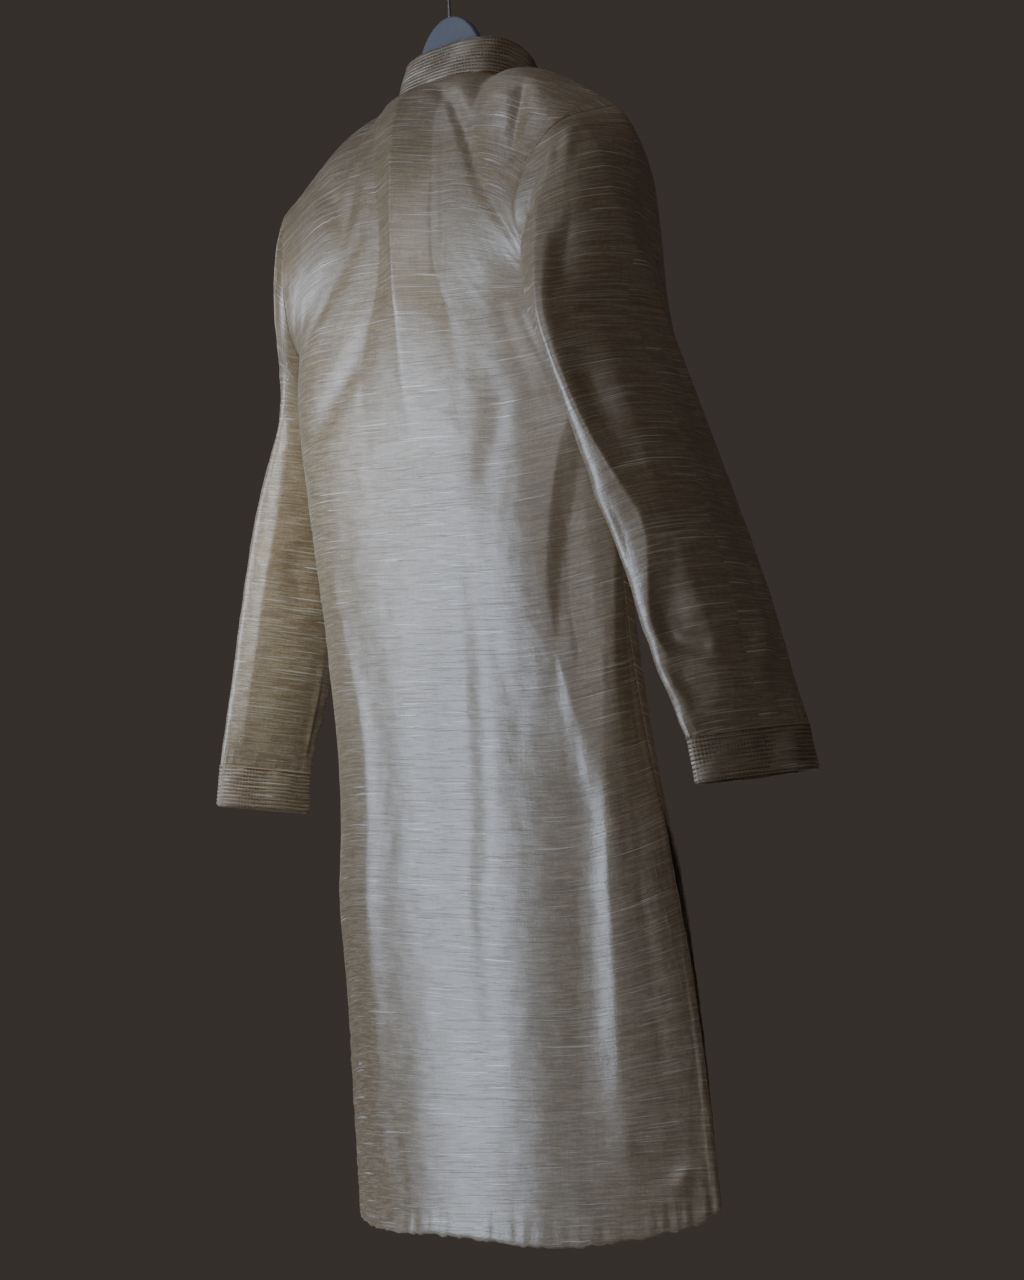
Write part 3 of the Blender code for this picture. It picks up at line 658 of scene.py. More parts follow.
def fold_heights(folds: tuple, flat: Array, scale: FlatScale) -> Array:
    """Lift of a cloth by its folds.

    Args:
        folds: The folds, placed in shares of the cloth.
        flat: Cloth positions in metres.
        scale: Turns shares of the cloth into metres.

    Returns:
        Height in metres at every point.
    """
    height = np.zeros(flat.shape[:-1])
    shifts = (-scale.period, 0.0, scale.period) if scale.period else (0.0,)
    for fold in folds:
        route = curve_through(np.array([scale.place(u, v) for u, v in fold.path]), FOLD_POINTS)
        for shift in shifts:
            path = route + [shift, 0.0]
            low = path.min(axis=0) - FOLD_REACH * fold.width
            high = path.max(axis=0) + FOLD_REACH * fold.width
            near = ((flat > low) & (flat < high)).all(axis=-1)
            if near.any():
                height[near] += fold_lift(fold, route, shift, flat[near])
    return height


@dataclass(frozen=True)
class Crumple:
    """Fine uneven relief: many small waves that fade into each other."""

    seed: int
    height: float
    shortest: float
    longest: float
    stretch: float
    waves: int
    period: float = 1.0

    def heights(self, flat: Array) -> Array:
        """Heights of the relief, longer down the cloth than across it by stretch.

        Args:
            flat: Cloth positions in metres.

        Returns:
            Height in metres at every position.
        """
        rng = np.random.default_rng(self.seed)
        total = np.zeros(flat.shape[:-1])
        for _ in range(self.waves):
            length = self.shortest * (self.longest / self.shortest) ** rng.random()
            heading = rng.uniform(0, np.pi)
            across = round(np.cos(heading) * self.period / length)
            down = np.sin(heading) / length / self.stretch
            phase = rng.uniform(0, 2 * np.pi)
            wave = across * flat[..., 0] / self.period + down * flat[..., 1]
            total += np.cos(2 * np.pi * wave + phase) * length
        return total * self.height / (self.longest * math.sqrt(self.waves / 2))


@dataclass(frozen=True)
class Pucker:
    """Small gathers drawn up along a line of stitching, uneven in length and depth."""

    seed: int
    height: float
    pitch: float
    reach: float
    pitches: tuple = (1.0, 0.62, 1.7)
    drift: float = 2.2
    slow: float = 31.0
    quick: float = 83.0
    quick_share: float = 0.6
    fade: float = 1.5

    def heights(self, along_seam: Array, away: Array) -> Array:
        """Heights of the gathers.

        Args:
            along_seam: Distances along the seam.
            away: Distances from it.

        Returns:
            Height in metres at every place.
        """
        rng = np.random.default_rng(self.seed)
        total = np.zeros(np.broadcast(along_seam, away).shape)
        for share in self.pitches:
            phases = rng.uniform(0, 2 * np.pi, 3)
            drift = np.sin(along_seam * self.slow + phases[1])
            drift = drift + self.quick_share * np.sin(along_seam * self.quick + phases[2])
            turn = 2 * np.pi * along_seam / (self.pitch * share) + phases[0] + self.drift * drift
            total = total + np.cos(turn) / len(self.pitches)
        return self.height * total * np.exp(-((away / self.reach) ** self.fade))


CRUMPLES = {
    "back": (Crumple(11, 0.0010, 0.08, 0.24, 2.0, 22), Crumple(12, 0.00022, 0.01, 0.04, 1.2, 60)),
    "front": (Crumple(13, 0.0010, 0.08, 0.24, 2.0, 22), Crumple(14, 0.00022, 0.01, 0.04, 1.2, 60)),
    "sleeve": (
        Crumple(15, 0.0009, 0.06, 0.15, 2.0, 20, SLEEVE_ROUND),
        Crumple(16, 0.00025, 0.01, 0.04, 1.2, 50, SLEEVE_ROUND),
    ),
}
HEM_PUCKER = Pucker(31, 0.0011, 0.015, 0.011)
SLIT_PUCKER = Pucker(32, 0.0008, 0.016, 0.009)
CUFF_PUCKER = Pucker(33, 0.0011, 0.0113, 0.012)
HEM_RAGGED = Pucker(35, 0.0016, 0.021, 0.012)


# --- Cloth walls ---
@dataclass
class Cloth:
    """A cut piece of cloth as a grid of outer points, with its place on the flat cloth.

    A closed cloth is a tube whose last column meets its first.
    """

    name: str
    points: Array
    flat: Array
    closed: bool = False
    wall: Array | None = None
    places: Array | None = None
    normals: Array | None = None

    def __post_init__(self) -> None:
        """Works out the normals and gives every point the wall of a single layer."""
        self.normals = grid_normals(self.points, self.closed)
        if self.wall is None:
            self.wall = np.full(self.points.shape[:2], CLOTH)

    def relax(self, weight: Array, times: int) -> None:
        """Evens the cloth out, each point towards its neighbours.

        Args:
            weight: How far each point gives way, from 0 to 1.
            times: How often it does.
        """
        for _ in range(times):
            held = self.points.copy()
            around = held.copy()
            around[1:-1] = (held[:-2] + held[2:]) / 2
            if self.closed:
                side = (np.roll(held, 1, axis=1) + np.roll(held, -1, axis=1)) / 2
            else:
                side = held.copy()
                side[:, 1:-1] = (held[:, :-2] + held[:, 2:]) / 2
            mean = (around + side) / 2
            self.points = held + (mean - held) * weight[..., None]
        self.normals = grid_normals(self.points, self.closed)

    def lift(self, heights: Array) -> None:
        """Moves the points out along the normals by heights."""
        self.points = self.points + self.normals * heights[..., None]
        self.normals = grid_normals(self.points, self.closed)

    def rims(self) -> list:
        """Loops of grid places that a rim runs along.

        Returns:
            Rows and columns of each loop; an open cloth's goes right along its first row.
        """
        rows, columns = self.points.shape[:2]
        if self.closed:
            return [(np.full(columns, r), np.arange(columns)) for r in (0, rows - 1)]
        top = [(0, c) for c in range(columns)]
        right = [(r, columns - 1) for r in range(1, rows)]
        bottom = [(rows - 1, c) for c in range(columns - 2, -1, -1)]
        left = [(r, 0) for r in range(rows - 2, 0, -1)]
        return [tuple(np.array([*top, *right, *bottom, *left]).T)]

    def cells(self) -> tuple:
        """Corners of the grid's faces.

        Returns:
            Point numbers, and numbers of flat places, of each face's four corners.
        """
        rows, columns = self.points.shape[:2]
        r, c = np.indices((rows - 1, columns if self.closed else columns - 1)).reshape(2, -1)
        corners = ((r, c), (r + 1, c), (r + 1, c + 1), (r, c + 1))
        quad = np.stack([row * columns + column % columns for row, column in corners], 1)
        spot = np.stack([row * self.flat.shape[1] + column for row, column in corners], 1)
        return quad, spot

    def shell(self, finish: Material, rim_steps: int = 4) -> Object:
        """Makes the wall as one closed mesh, its edges rounded over.

        Args:
            finish: Material of the cloth.
            rim_steps: Facets from the outer face over the edge to the inner one.

        Returns:
            The new object, placed in the frame, with its cloth positions as the UV map.
        """
        rows, columns = self.points.shape[:2]
        outer = self.points.copy()
        inner = outer - self.normals * self.wall[..., None]
        rims = self.rims()
        directions = []
        for r, c in rims:
            inside_c = c if self.closed else np.clip(c, 1, columns - 2)
            away = unit(outer[r, c] - outer[np.clip(r, 1, rows - 2), inside_c])
            half = (self.wall[r, c] / 2 + SEAM_GAP / 4)[:, None]
            outer[r, c] -= away * half
            inner[r, c] -= away * half
            directions.append(away * self.wall[r, c][:, None] / 2)
        vertices = [outer.reshape(-1, 3), inner.reshape(-1, 3)]
        quad, spot = self.cells()
        size = rows * columns
        quads = [quad, quad[:, ::-1] + size]
        spots = [spot, spot[:, ::-1]]
        start = 2 * size
        for (r, c), away in zip(rims, directions):
            count = len(r)
            loops = [r * columns + c]
            for step in range(1, rim_steps):
                s = step / rim_steps
                middle = outer[r, c] * (1 - s) + inner[r, c] * s + away * math.sin(math.pi * s)
                vertices.append(middle)
                loops.append(np.arange(start, start + count))
                start += count
            loops.append(size + r * columns + c)
            after = np.roll(np.arange(count), -1)
            near = r * self.flat.shape[1] + c
            far = near + 1 if self.closed else near[after]
            for one, two in zip(loops, loops[1:]):
                quads.append(np.stack([one, one[after], two[after], two], 1))
                spots.append(np.stack([near, far, far, near], 1))
        name = f"{self.name}_cloth"
        mesh = bpy.data.meshes.new(name)
        points = np.concatenate(vertices) + PLACE
        mesh.from_pydata(points.tolist(), [], np.concatenate(quads).tolist())
        layer = mesh.uv_layers.new(name="cloth")
        where = self.flat.reshape(-1, 2)[np.concatenate(spots).ravel()]
        layer.data.foreach_set("uv", where.astype(np.float32).ravel())
        return finished(name, mesh, finish, outward=True)


def placed(name: str, data: bpy.types.ID) -> Object:
    """New object of some data, linked to the scene."""
    item = bpy.data.objects.new(name, data)
    bpy.context.scene.collection.objects.link(item)
    return item


def plain(item: Object) -> Mesh:
    """Mesh that an object's modifiers make; the object itself is removed.

    Args:
        item: Object with live modifiers.

    Returns:
        The plain mesh.
    """
    graph = bpy.context.evaluated_depsgraph_get()
    mesh = bpy.data.meshes.new_from_object(item.evaluated_get(graph))
    bpy.data.objects.remove(item)
    return mesh


def finished(name: str, mesh: Mesh, finish: Material, outward: bool = False) -> Object:
    """Smooth-shaded object of a mesh with one finish.

    Args:
        name: Name of the piece.
        mesh: Its mesh, in place.
        finish: Its material.
        outward: Whether its faces are turned outward first.

    Returns:
        The object, at the origin.
    """
    if outward:
        form = bmesh.new()
        form.from_mesh(mesh)
        bmesh.ops.recalc_face_normals(form, faces=form.faces)
        form.to_mesh(mesh)
        form.free()
    mesh.shade_smooth()
    mesh.materials.clear()
    mesh.materials.append(finish)
    return placed(name, mesh)


def sew(cloths: dict, seams: list) -> None:
    """Gives pieces the same normals where they are sewn, so their walls meet in one mitre.

    Args:
        cloths: Pieces by name.
        seams: Lists of (name, row, column) that meet at a point.
    """
    for seam in seams:
        panels = [cloths[n].normals[r, c] for n, r, c in seam if not cloths[n].closed]
        tubes = [cloths[n].normals[r, c] for n, r, c in seam if cloths[n].closed]
        shared = unit(sum([unit(sum(panels)), *tubes]))
        for name, row, column in seam:
            cloths[name].normals[row, column] = shared


# --- Finishes ---
class Nodes:
    """Small helper that adds and links the nodes of one material."""

    def __init__(self, name: str) -> None:
        """Starts a material with a Principled shader.

        Args:
            name: Name of the material.
        """
        self.material = bpy.data.materials.new(name)
        self.material.use_nodes = True
        self.tree = self.material.node_tree
        self.shader = self.tree.nodes["Principled BSDF"]

    def add(self, kind: str, **settings: object) -> Node:
        """Adds a node.

        Args:
            kind: Type of the node.
            settings: Its properties.

        Returns:
            The node.
        """
        node = self.tree.nodes.new(kind)
        for key, value in settings.items():
            setattr(node, key, value)
        return node

    def put(self, socket: NodeSocket, value: object) -> None:
        """Fills an input.

        Args:
            socket: The input.
            value: An output to link to it, or a constant.
        """
        if isinstance(value, NodeSocket):
            self.tree.links.new(value, socket)
        else:
            socket.default_value = value

    def constants(self, values: dict) -> None:
        """Sets inputs of the shader by name."""
        for name, value in values.items():
            self.shader.inputs[name].default_value = value

    def math(self, operation: str, one: object, two: object) -> NodeSocket:
        """Maths on outputs or numbers.

        Args:
            operation: What is done to them.
            one: First value.
            two: Second value.

        Returns:
            The result.
        """
        node = self.add("ShaderNodeMath", operation=operation)
        self.put(node.inputs[0], one)
        self.put(node.inputs[1], two)
        return node.outputs[0]

    def mix(self, share: object, one: object, two: object) -> NodeSocket:
        """Mix of two colours.

        Args:
            share: Share of the second colour.
            one: First colour.
            two: Second colour.

        Returns:
            The colour between them.
        """
        node = self.add("ShaderNodeMix", data_type="RGBA")
        for index, value in zip((0, 6, 7), (share, one, two)):
            self.put(node.inputs[index], value)
        return node.outputs[2]

    def ranged(self, value: object, ends: str, low: float, high: float, kind: str) -> object:
        """Value mapped from one range to another.

        Args:
            value: Output to map.
            ends: "From" or "To", the range that low and high are of; the other is 0 to 1.
            low: Low end of the range.
            high: High end of the range.
            kind: How it goes from one end to the other.

        Returns:
            The mapped output.
        """
        node = self.add("ShaderNodeMapRange", interpolation_type=kind)
        self.put(node.inputs["Value"], value)
        node.inputs[f"{ends} Min"].default_value = low
        node.inputs[f"{ends} Max"].default_value = high
        return node.outputs["Result"]

    def noise(self, where: object, scale: float, detail: float = 2.0) -> Node:
        """Adds a noise texture.

        Args:
            where: Places that it reads.
            scale: Its frequency.
            detail: How many finer layers it has.

        Returns:
            The node.
        """
        node = self.add("ShaderNodeTexNoise")
        node.inputs["Scale"].default_value = scale
        node.inputs["Detail"].default_value = detail
        self.put(node.inputs["Vector"], where)
        return node

    def mottle(self, colour: tuple, share: float, scale: float, detail: float = 2.0) -> object:
        """Colours the shader, with a darker mottle on Object coordinates.

        Args:
            colour: The colour.
            share: Share of it that is left where it is darkest.
            scale: Frequency of the mottle.
            detail: How many finer layers it has.

        Returns:
            The mottle's noise.
        """
        where = self.add("ShaderNodeTexCoord").outputs["Object"]
        noise = self.noise(where, scale, detail).outputs["Fac"]
        shade = tuple(share * part for part in colour[:3]) + (1.0,)
        self.put(self.shader.inputs["Base Color"], self.mix(noise, colour, shade))
        return noise

    def bump(self, height: NodeSocket, distance: float) -> None:
        """Puts a relief on the shader.

        Args:
            height: Heights as shares of the distance.
            distance: The relief's full height in metres.
        """
        node = self.add("ShaderNodeBump")
        node.inputs["Distance"].default_value = distance
        self.put(node.inputs["Height"], height)
        self.put(self.shader.inputs["Normal"], node.outputs[0])


class Dye(Enum):
    """Colours of the raw silk's threads."""

    GROUND = (0.470, 0.362, 0.200, 1.0)
    PALE = (0.560, 0.465, 0.310, 1.0)
    SLUB = (0.90, 0.86, 0.76, 1.0)
    DARK = (0.170, 0.105, 0.045, 1.0)


@dataclass(frozen=True)
class Streak:
    """Streaks of the weave, by their frequencies across and down the cloth per metre.

    They show from a low to a high noise value, in a share of their dye. Their relief is that of
    the shown streaks, or of the noise itself where they are even.
    """

    label: str
    across: float
    down: float
    shift: float
    detail: float
    low: float
    high: float
    dye: Dye
    share: float
    relief: float = 0.0
    even: bool = False
    glossy: bool = False
    skew: float = 0.7

    def noise(self, n: Nodes, spot: NodeSocket) -> NodeSocket:
        """Noise drawn out along the streaks.

        Args:
            n: Nodes of the material.
            spot: Cloth positions in metres.

        Returns:
            The noise, from 0 to 1.
        """
        spread = n.add("ShaderNodeVectorMath", operation="MULTIPLY_ADD", label=self.label)
        n.put(spread.inputs[0], spot)
        spread.inputs[1].default_value = (self.across, self.down, 0.0)
        spread.inputs[2].default_value = (self.shift, self.shift * self.skew, self.shift)
        return n.noise(spread.outputs[0], 1.0, self.detail).outputs["Fac"]


WEAVE = (
    Streak("bands", 5, 110, 5.5, 2.0, 0.30, 0.70, Dye.PALE, 0.60),
    Streak("tone", 7, 9, 21.0, 2.0, 0.35, 0.70, Dye.PALE, 0.35),
    Streak("weft", 45, 560, 9.2, 1.0, 0.40, 0.60, Dye.DARK, 0.46, 0.50, even=True),
    Streak("warp", 560, 60, 2.4, 1.0, 0.40, 0.60, Dye.DARK, 0.16, 0.30, even=True),
    Streak("knots", 280, 500, 15.1, 1.0, 0.45, 0.60, Dye.DARK, 0.30, 0.50, even=True),
    Streak("dark slub", 13, 800, 12.3, 0.5, 0.65, 0.72, Dye.DARK, 0.30, -0.50),
    Streak("thin slub", 16, 950, 7.7, 0.5, 0.64, 0.68, Dye.SLUB, 0.40, 0.50, glossy=True),
    Streak("slub", 13, 620, 3.1, 0.5, 0.70, 0.72, Dye.SLUB, 1.00, 1.00, glossy=True),
)


@dataclass(frozen=True)
class RawSilk:
    """Ivory raw silk: golden ground, paler slubs thrown across it, fine weave and satin sheen."""

    name: str = "ivory_silk"
    roughness: float = 0.47
    gloss: float = 0.38
    ior: float = 2.1
    anisotropy: float = 0.30
    turned: float = 0.25
    relief: float = 0.00024
    wander: float = 0.003
    wander_scale: float = 9.0
    sheen: float = 0.12
    sheen_roughness: float = 0.4

    def build(self) -> Material:
        """Makes the material, which reads the cloth's own UV map in metres.

        Returns:
            The material.
        """
        n = Nodes(self.name)
        spot = n.add("ShaderNodeUVMap", uv_map="cloth").outputs[0]
        moved = n.add("ShaderNodeVectorMath", operation="MULTIPLY_ADD")
        n.put(moved.inputs[0], n.noise(spot, self.wander_scale).outputs["Color"])
        moved.inputs[1].default_value = (0.0, self.wander, 0.0)
        n.put(moved.inputs[2], spot)
        colour, relief, glossy = Dye.GROUND.value, 0.0, 0.0
        for streak in WEAVE:
            noise = streak.noise(n, moved.outputs[0])
            shown = n.ranged(noise, "From", streak.low, streak.high, "SMOOTHSTEP")
            colour = n.mix(n.math("MULTIPLY", shown, streak.share), colour, streak.dye.value)
            if streak.relief:
                raised = n.math("MULTIPLY", noise if streak.even else shown, streak.relief)
                relief = n.math("ADD", relief, raised)
            if streak.glossy:
                glossy = n.math("MAXIMUM", glossy, shown)
        n.put(n.shader.inputs["Base Color"], colour)
        n.bump(relief, self.relief)
        tangent = n.add("ShaderNodeTangent", direction_type="UV_MAP", uv_map="cloth")
        n.put(n.shader.inputs["Tangent"], tangent.outputs[0])
        rough = n.ranged(glossy, "To", self.roughness, self.gloss, "LINEAR")
        n.put(n.shader.inputs["Roughness"], rough)
        gloss = {"IOR": self.ior, "Specular IOR Level": 1.0}
        run = {"Anisotropic": self.anisotropy, "Anisotropic Rotation": self.turned}
        nap = {"Sheen Weight": self.sheen, "Sheen Roughness": self.sheen_roughness}
        n.constants({**gloss, **run, **nap})
        return n.material


@dataclass(frozen=True)
class Thread:
    """Twisted sewing thread in one colour."""

    name: str
    colour: tuple
    roughness: float = 0.5
    sheen: float = 0.2
    twist: float = 900.0
    shade: float = 0.7

    def build(self) -> Material:
        """Makes the material with a fine twist along Object coordinates.

        Returns:
            The material.
        """
        n = Nodes(self.name)
        n.mottle(self.colour, self.shade, self.twist)
        n.constants({"Roughness": self.roughness, "Sheen Weight": self.sheen})
        return n.material


@dataclass(frozen=True)
class Moulded:
    """Moulded or polished hard material with faint wear in its gloss."""

    name: str
    colour: tuple
    roughness: float
    metallic: float = 0.0
    grain: float = 160.0
    relief: float = 0.00005
    detail: float = 4.0
    shade: float = 0.9
    polished: float = 0.85
    worn: float = 1.2

    def build(self) -> Material:
        """Makes the material on Object coordinates.

        Returns:
            The material.
        """
        n = Nodes(self.name)
        noise = n.mottle(self.colour, self.shade, self.grain, self.detail)
        low, high = self.roughness * self.polished, self.roughness * self.worn
        rough = n.ranged(noise, "To", low, high, "LINEAR")
        n.put(n.shader.inputs["Roughness"], rough)
        n.constants({"Metallic": self.metallic})
        n.bump(noise, self.relief)
        return n.material


FINISHES = {
    "silk": RawSilk(),
    "banded": RawSilk("band_silk", roughness=0.58, gloss=0.50, ior=2.2, anisotropy=0.0),
    "brown": Thread("stitch_thread", (0.22, 0.125, 0.05, 1.0)),
    "gold": Thread("piping_cloth", (0.42, 0.28, 0.12, 1.0)),
    "ivory": Thread("hem_thread", (0.62, 0.52, 0.36, 1.0)),
    "shell": Moulded("button_shell", (0.78, 0.72, 0.62, 1.0), 0.22),
    "plastic": Moulded("hanger_plastic", (0.27, 0.30, 0.37, 1.0), 0.5),
    "steel": Moulded("hook_steel", (0.50, 0.50, 0.52, 1.0), 0.34, metallic=1.0, relief=0.0),
}


# --- Folds ---
FOLDS = {
    Side.BACK: (
        Fold(((-0.1, 0.14), (-0.19, 0.26), (-0.35, 0.42), (-0.53, 0.56), (-0.67, 0.653),
              (-0.8, 0.72), (-0.92, 0.8)), 0.009, -0.0036, lean=-0.2),
        Fold(((0.05, 0.06), (0.04, 0.26), (0.01, 0.453), (-0.05, 0.627), (-0.08, 0.767),
              (-0.07, 0.893), (-0.05, 1.007), (-0.05, 1.12)), 0.05, 0.019, pleat=True),
        Fold(((-0.14, 0.22), (-0.2, 0.34), (-0.3, 0.547), (-0.35, 0.667), (-0.36, 0.8),
              (-0.27, 0.92), (-0.21, 1.02)), 0.005, -0.0012),
        Fold(((-0.33, 1.03), (-0.37, 1.09), (-0.34, 1.15), (-0.28, 1.2)), 0.012, -0.0026),
        Fold(((-0.63, 0.2), (-0.69, 0.3), (-0.76, 0.407), (-0.86, 0.53)), 0.014, -0.005, 1.6),
        Fold(((0.22, 0.173), (0.38, 0.567), (0.53, 0.727), (0.77, 0.867)), 0.016, -0.004),
        Fold(((0.25, 0.66), (0.4, 0.747), (0.53, 0.82), (0.62, 0.92)), 0.014, -0.0044),
        Fold(((0.12, 0.95), (0.25, 1.027), (0.4, 1.067), (0.58, 1.09)), 0.014, -0.0044),
        Fold(((0.4, 0.66), (0.55, 0.55), (0.78, 0.387)), 0.016, -0.003),
        Fold(((-0.78, 1.03), (-0.63, 1.13), (-0.555, 1.227), (-0.53, 1.3), (-0.54, 1.36),
              (-0.58, 1.43), (-0.57, 1.53)), 0.042, 0.0062, lean=0.45, pleat=True),
        Fold(((-0.76, 0.86), (-0.5, 1.0), (-0.56, 1.073), (-0.62, 1.127)), 0.01, -0.0034),
        Fold(((-0.17, 1.16), (-0.16, 1.3), (-0.13, 1.4), (-0.08, 1.55), (-0.05, 1.7),
              (-0.05, 1.9)), 0.03, -0.0062, lean=0.4),
        Fold(((-0.57, 1.44), (-0.53, 1.56), (-0.46, 1.7), (-0.42, 1.8), (-0.42, 1.93)),
             0.024, -0.0044, lean=0.3),
        Fold(((-0.86, 1.05), (-0.88, 1.2), (-0.84, 1.3), (-0.79, 1.4), (-0.75, 1.55)),
             0.05, 0.017, lean=0.3, pleat=True),
        Fold(((-0.78, 1.34), (-0.67, 1.487), (-0.57, 1.64), (-0.52, 1.74), (-0.5, 1.85),
              (-0.5, 1.97)), 0.033, 0.0048, lean=-0.1, pleat=True),
        Fold(((0.44, 1.2), (0.38, 1.33), (0.34, 1.45), (0.35, 1.62), (0.36, 1.8), (0.37, 1.97)),
             0.028, 0.0046, 1.5, lean=0.5),
        Fold(((0.58, 1.08), (0.66, 1.22), (0.7, 1.34)), 0.018, -0.004),
        Fold(((0.36, 1.84), (0.27, 1.9), (0.22, 1.99)), 0.01, -0.0014, lean=0.5),
        Fold(((-0.5, 1.9), (-0.6, 1.925), (-0.72, 1.93)), 0.009, -0.003),
        Fold(((-0.56, 1.95), (-0.64, 1.955), (-0.72, 1.945)), 0.007, 0.002),
    ),
    Side.FRONT: (
        Fold(((-0.24, 0.2), (-0.52, 0.52), (-0.78, 0.84)), 0.022, -0.004),
        Fold(((0.24, 0.2), (0.54, 0.5), (0.8, 0.82)), 0.022, -0.004),
        Fold(((-0.5, 1.0), (-0.38, 1.45), (-0.34, 1.95)), 0.03, -0.005),
        Fold(((0.44, 1.1), (0.54, 1.5), (0.52, 1.98)), 0.032, -0.005),
        Fold(((0.16, 1.2), (0.1, 1.6), (0.12, 2.0)), 0.034, 0.004),
    ),
    Hand.RIGHT: (
        Fold(((0.096, 0.02), (0.092, 0.2), (0.058, 0.447), (0.0, 0.64), (-0.092, 0.833),
              (-0.121, 1.107), (-0.13, 1.3)), 0.036, 0.012, lean=0.3, pleat=True),
        Fold(((0.066, 0.9), (0.075, 1.06), (0.079, 1.287), (0.083, 1.393), (0.071, 1.62),
              (0.05, 1.84), (0.025, 1.97)), 0.056, 0.018, pleat=True),
        Fold(((0.215, 0.2), (0.228, 0.45), (0.222, 0.75), (0.215, 1.0), (0.195, 1.2),
              (0.16, 1.34), (0.13, 1.48), (0.158, 1.6), (0.192, 1.693), (0.175, 1.775),
              (0.117, 1.807), (0.075, 1.847), (0.071, 1.9), (0.11, 1.96)), 0.02, 0.007, pleat=True),
        Fold(((0.33, 0.15), (0.33, 0.45), (0.325, 0.8), (0.32, 1.1), (0.315, 1.45)),
             0.065, 0.017, pleat=True),
        Fold(((0.312, 1.0), (0.308, 1.3), (0.305, 1.6), (0.3, 1.8), (0.295, 1.99)),
             0.055, 0.009, pleat=True),
        Fold(((0.262, 0.4), (0.258, 0.75), (0.252, 1.0), (0.235, 1.2), (0.215, 1.36)),
             0.022, -0.009, 1.6),
        Fold(((0.11, 1.62), (0.14, 1.71), (0.125, 1.765), (0.06, 1.79)), 0.013, -0.007),
        Fold(((0.12, 1.02), (0.125, 1.12), (0.118, 1.24)), 0.012, -0.005),
        Fold(((0.145, 0.5), (0.14, 0.66), (0.13, 0.84)), 0.016, -0.005),
        Fold(((0.31, 0.13), (0.285, 0.25), (0.3, 0.36)), 0.01, -0.006),
        Fold(((0.117, 0.05), (0.135, 0.16), (0.16, 0.3)), 0.006, 0.0028),
        Fold(((0.158, 0.06), (0.18, 0.15), (0.2, 0.24)), 0.005, 0.0028),
        Fold(((0.25, 1.76), (0.196, 1.847), (0.158, 1.927)), 0.01, 0.0036),
        Fold(((-0.017, 1.913), (-0.067, 1.8), (-0.09, 1.7)), 0.012, 0.0044),
        Fold(((0.004, 1.83), (-0.04, 1.78), (-0.088, 1.77)), 0.009, -0.0034),
    ),
    Hand.LEFT: (
        Fold(((0.325, 0.9), (0.35, 1.127), (0.367, 1.3), (0.364, 1.6), (0.371, 1.86),
              (0.375, 1.98)), 0.022, 0.005, 1.2),
        Fold(((0.446, 1.3), (0.47, 1.42), (0.5, 1.52)), 0.014, -0.004),
        Fold(((0.6, 1.6), (0.617, 1.833), (0.633, 1.96)), 0.004, 0.002, 1.6),
    ),
}


@dataclass(frozen=True)
class Slack:
    """Loose cloth of a sleeve that hangs out of line round a place (share of turn, w)."""

    share: float
    w: float
    reach: tuple
    push: tuple

    def moves(self, share: Array, w: Array) -> Array:
        """Moves of the sleeve's points.

        Args:
            share: Share of the turn at each point.
            w: Place along the sleeve at each point.

        Returns:
            The moves in metres.
        """
        turn = turn_between(share, self.share)
        weight = np.exp(-((turn / self.reach[0]) ** 2) - abs((w - self.w) / self.reach[1]) ** 3)
        return weight[..., None] * np.array(self.push)


@dataclass(frozen=True)
class Press:
    """Flattening of a sleeve towards a pressed edge at a share of its turn."""

    share: float = 0.245
    reach: float = 0.15
    strength: float = 0.68
    start: float = 0.70
    start_ease: float = 0.45
    end_ease: float = 0.18

    def squeeze(self, points: Array, share: Array, w: Array) -> Array:
        """Draws points sideways towards the pressed edge of their own ring.

        Args:
            points: Points of the sleeve.
            share: Share of the turn at each point.
            w: Place along the sleeve at each point.

        Returns:
            The moved points.
        """
        turn = turn_between(share, self.share)
        edge = np.take_along_axis(points[..., 0], abs(turn).argmin(axis=1)[:, None], axis=1)
        weight = self.strength * np.exp(-((turn / self.reach) ** 2))
        weight = weight * smooth((w - self.start) / self.start_ease)
        weight = weight * smooth((2 - w) / self.end_ease)
        return stack(edge + (points[..., 0] - edge) * (1 - weight), points[..., 1], points[..., 2])


SLACKS = {Hand.LEFT: (), Hand.RIGHT: (Slack(0.31, 0.55, (0.10, 0.36), (0.004, 0.003, 0.0)),)}
PRESSES = {Hand.LEFT: (), Hand.RIGHT: (Press(),)}


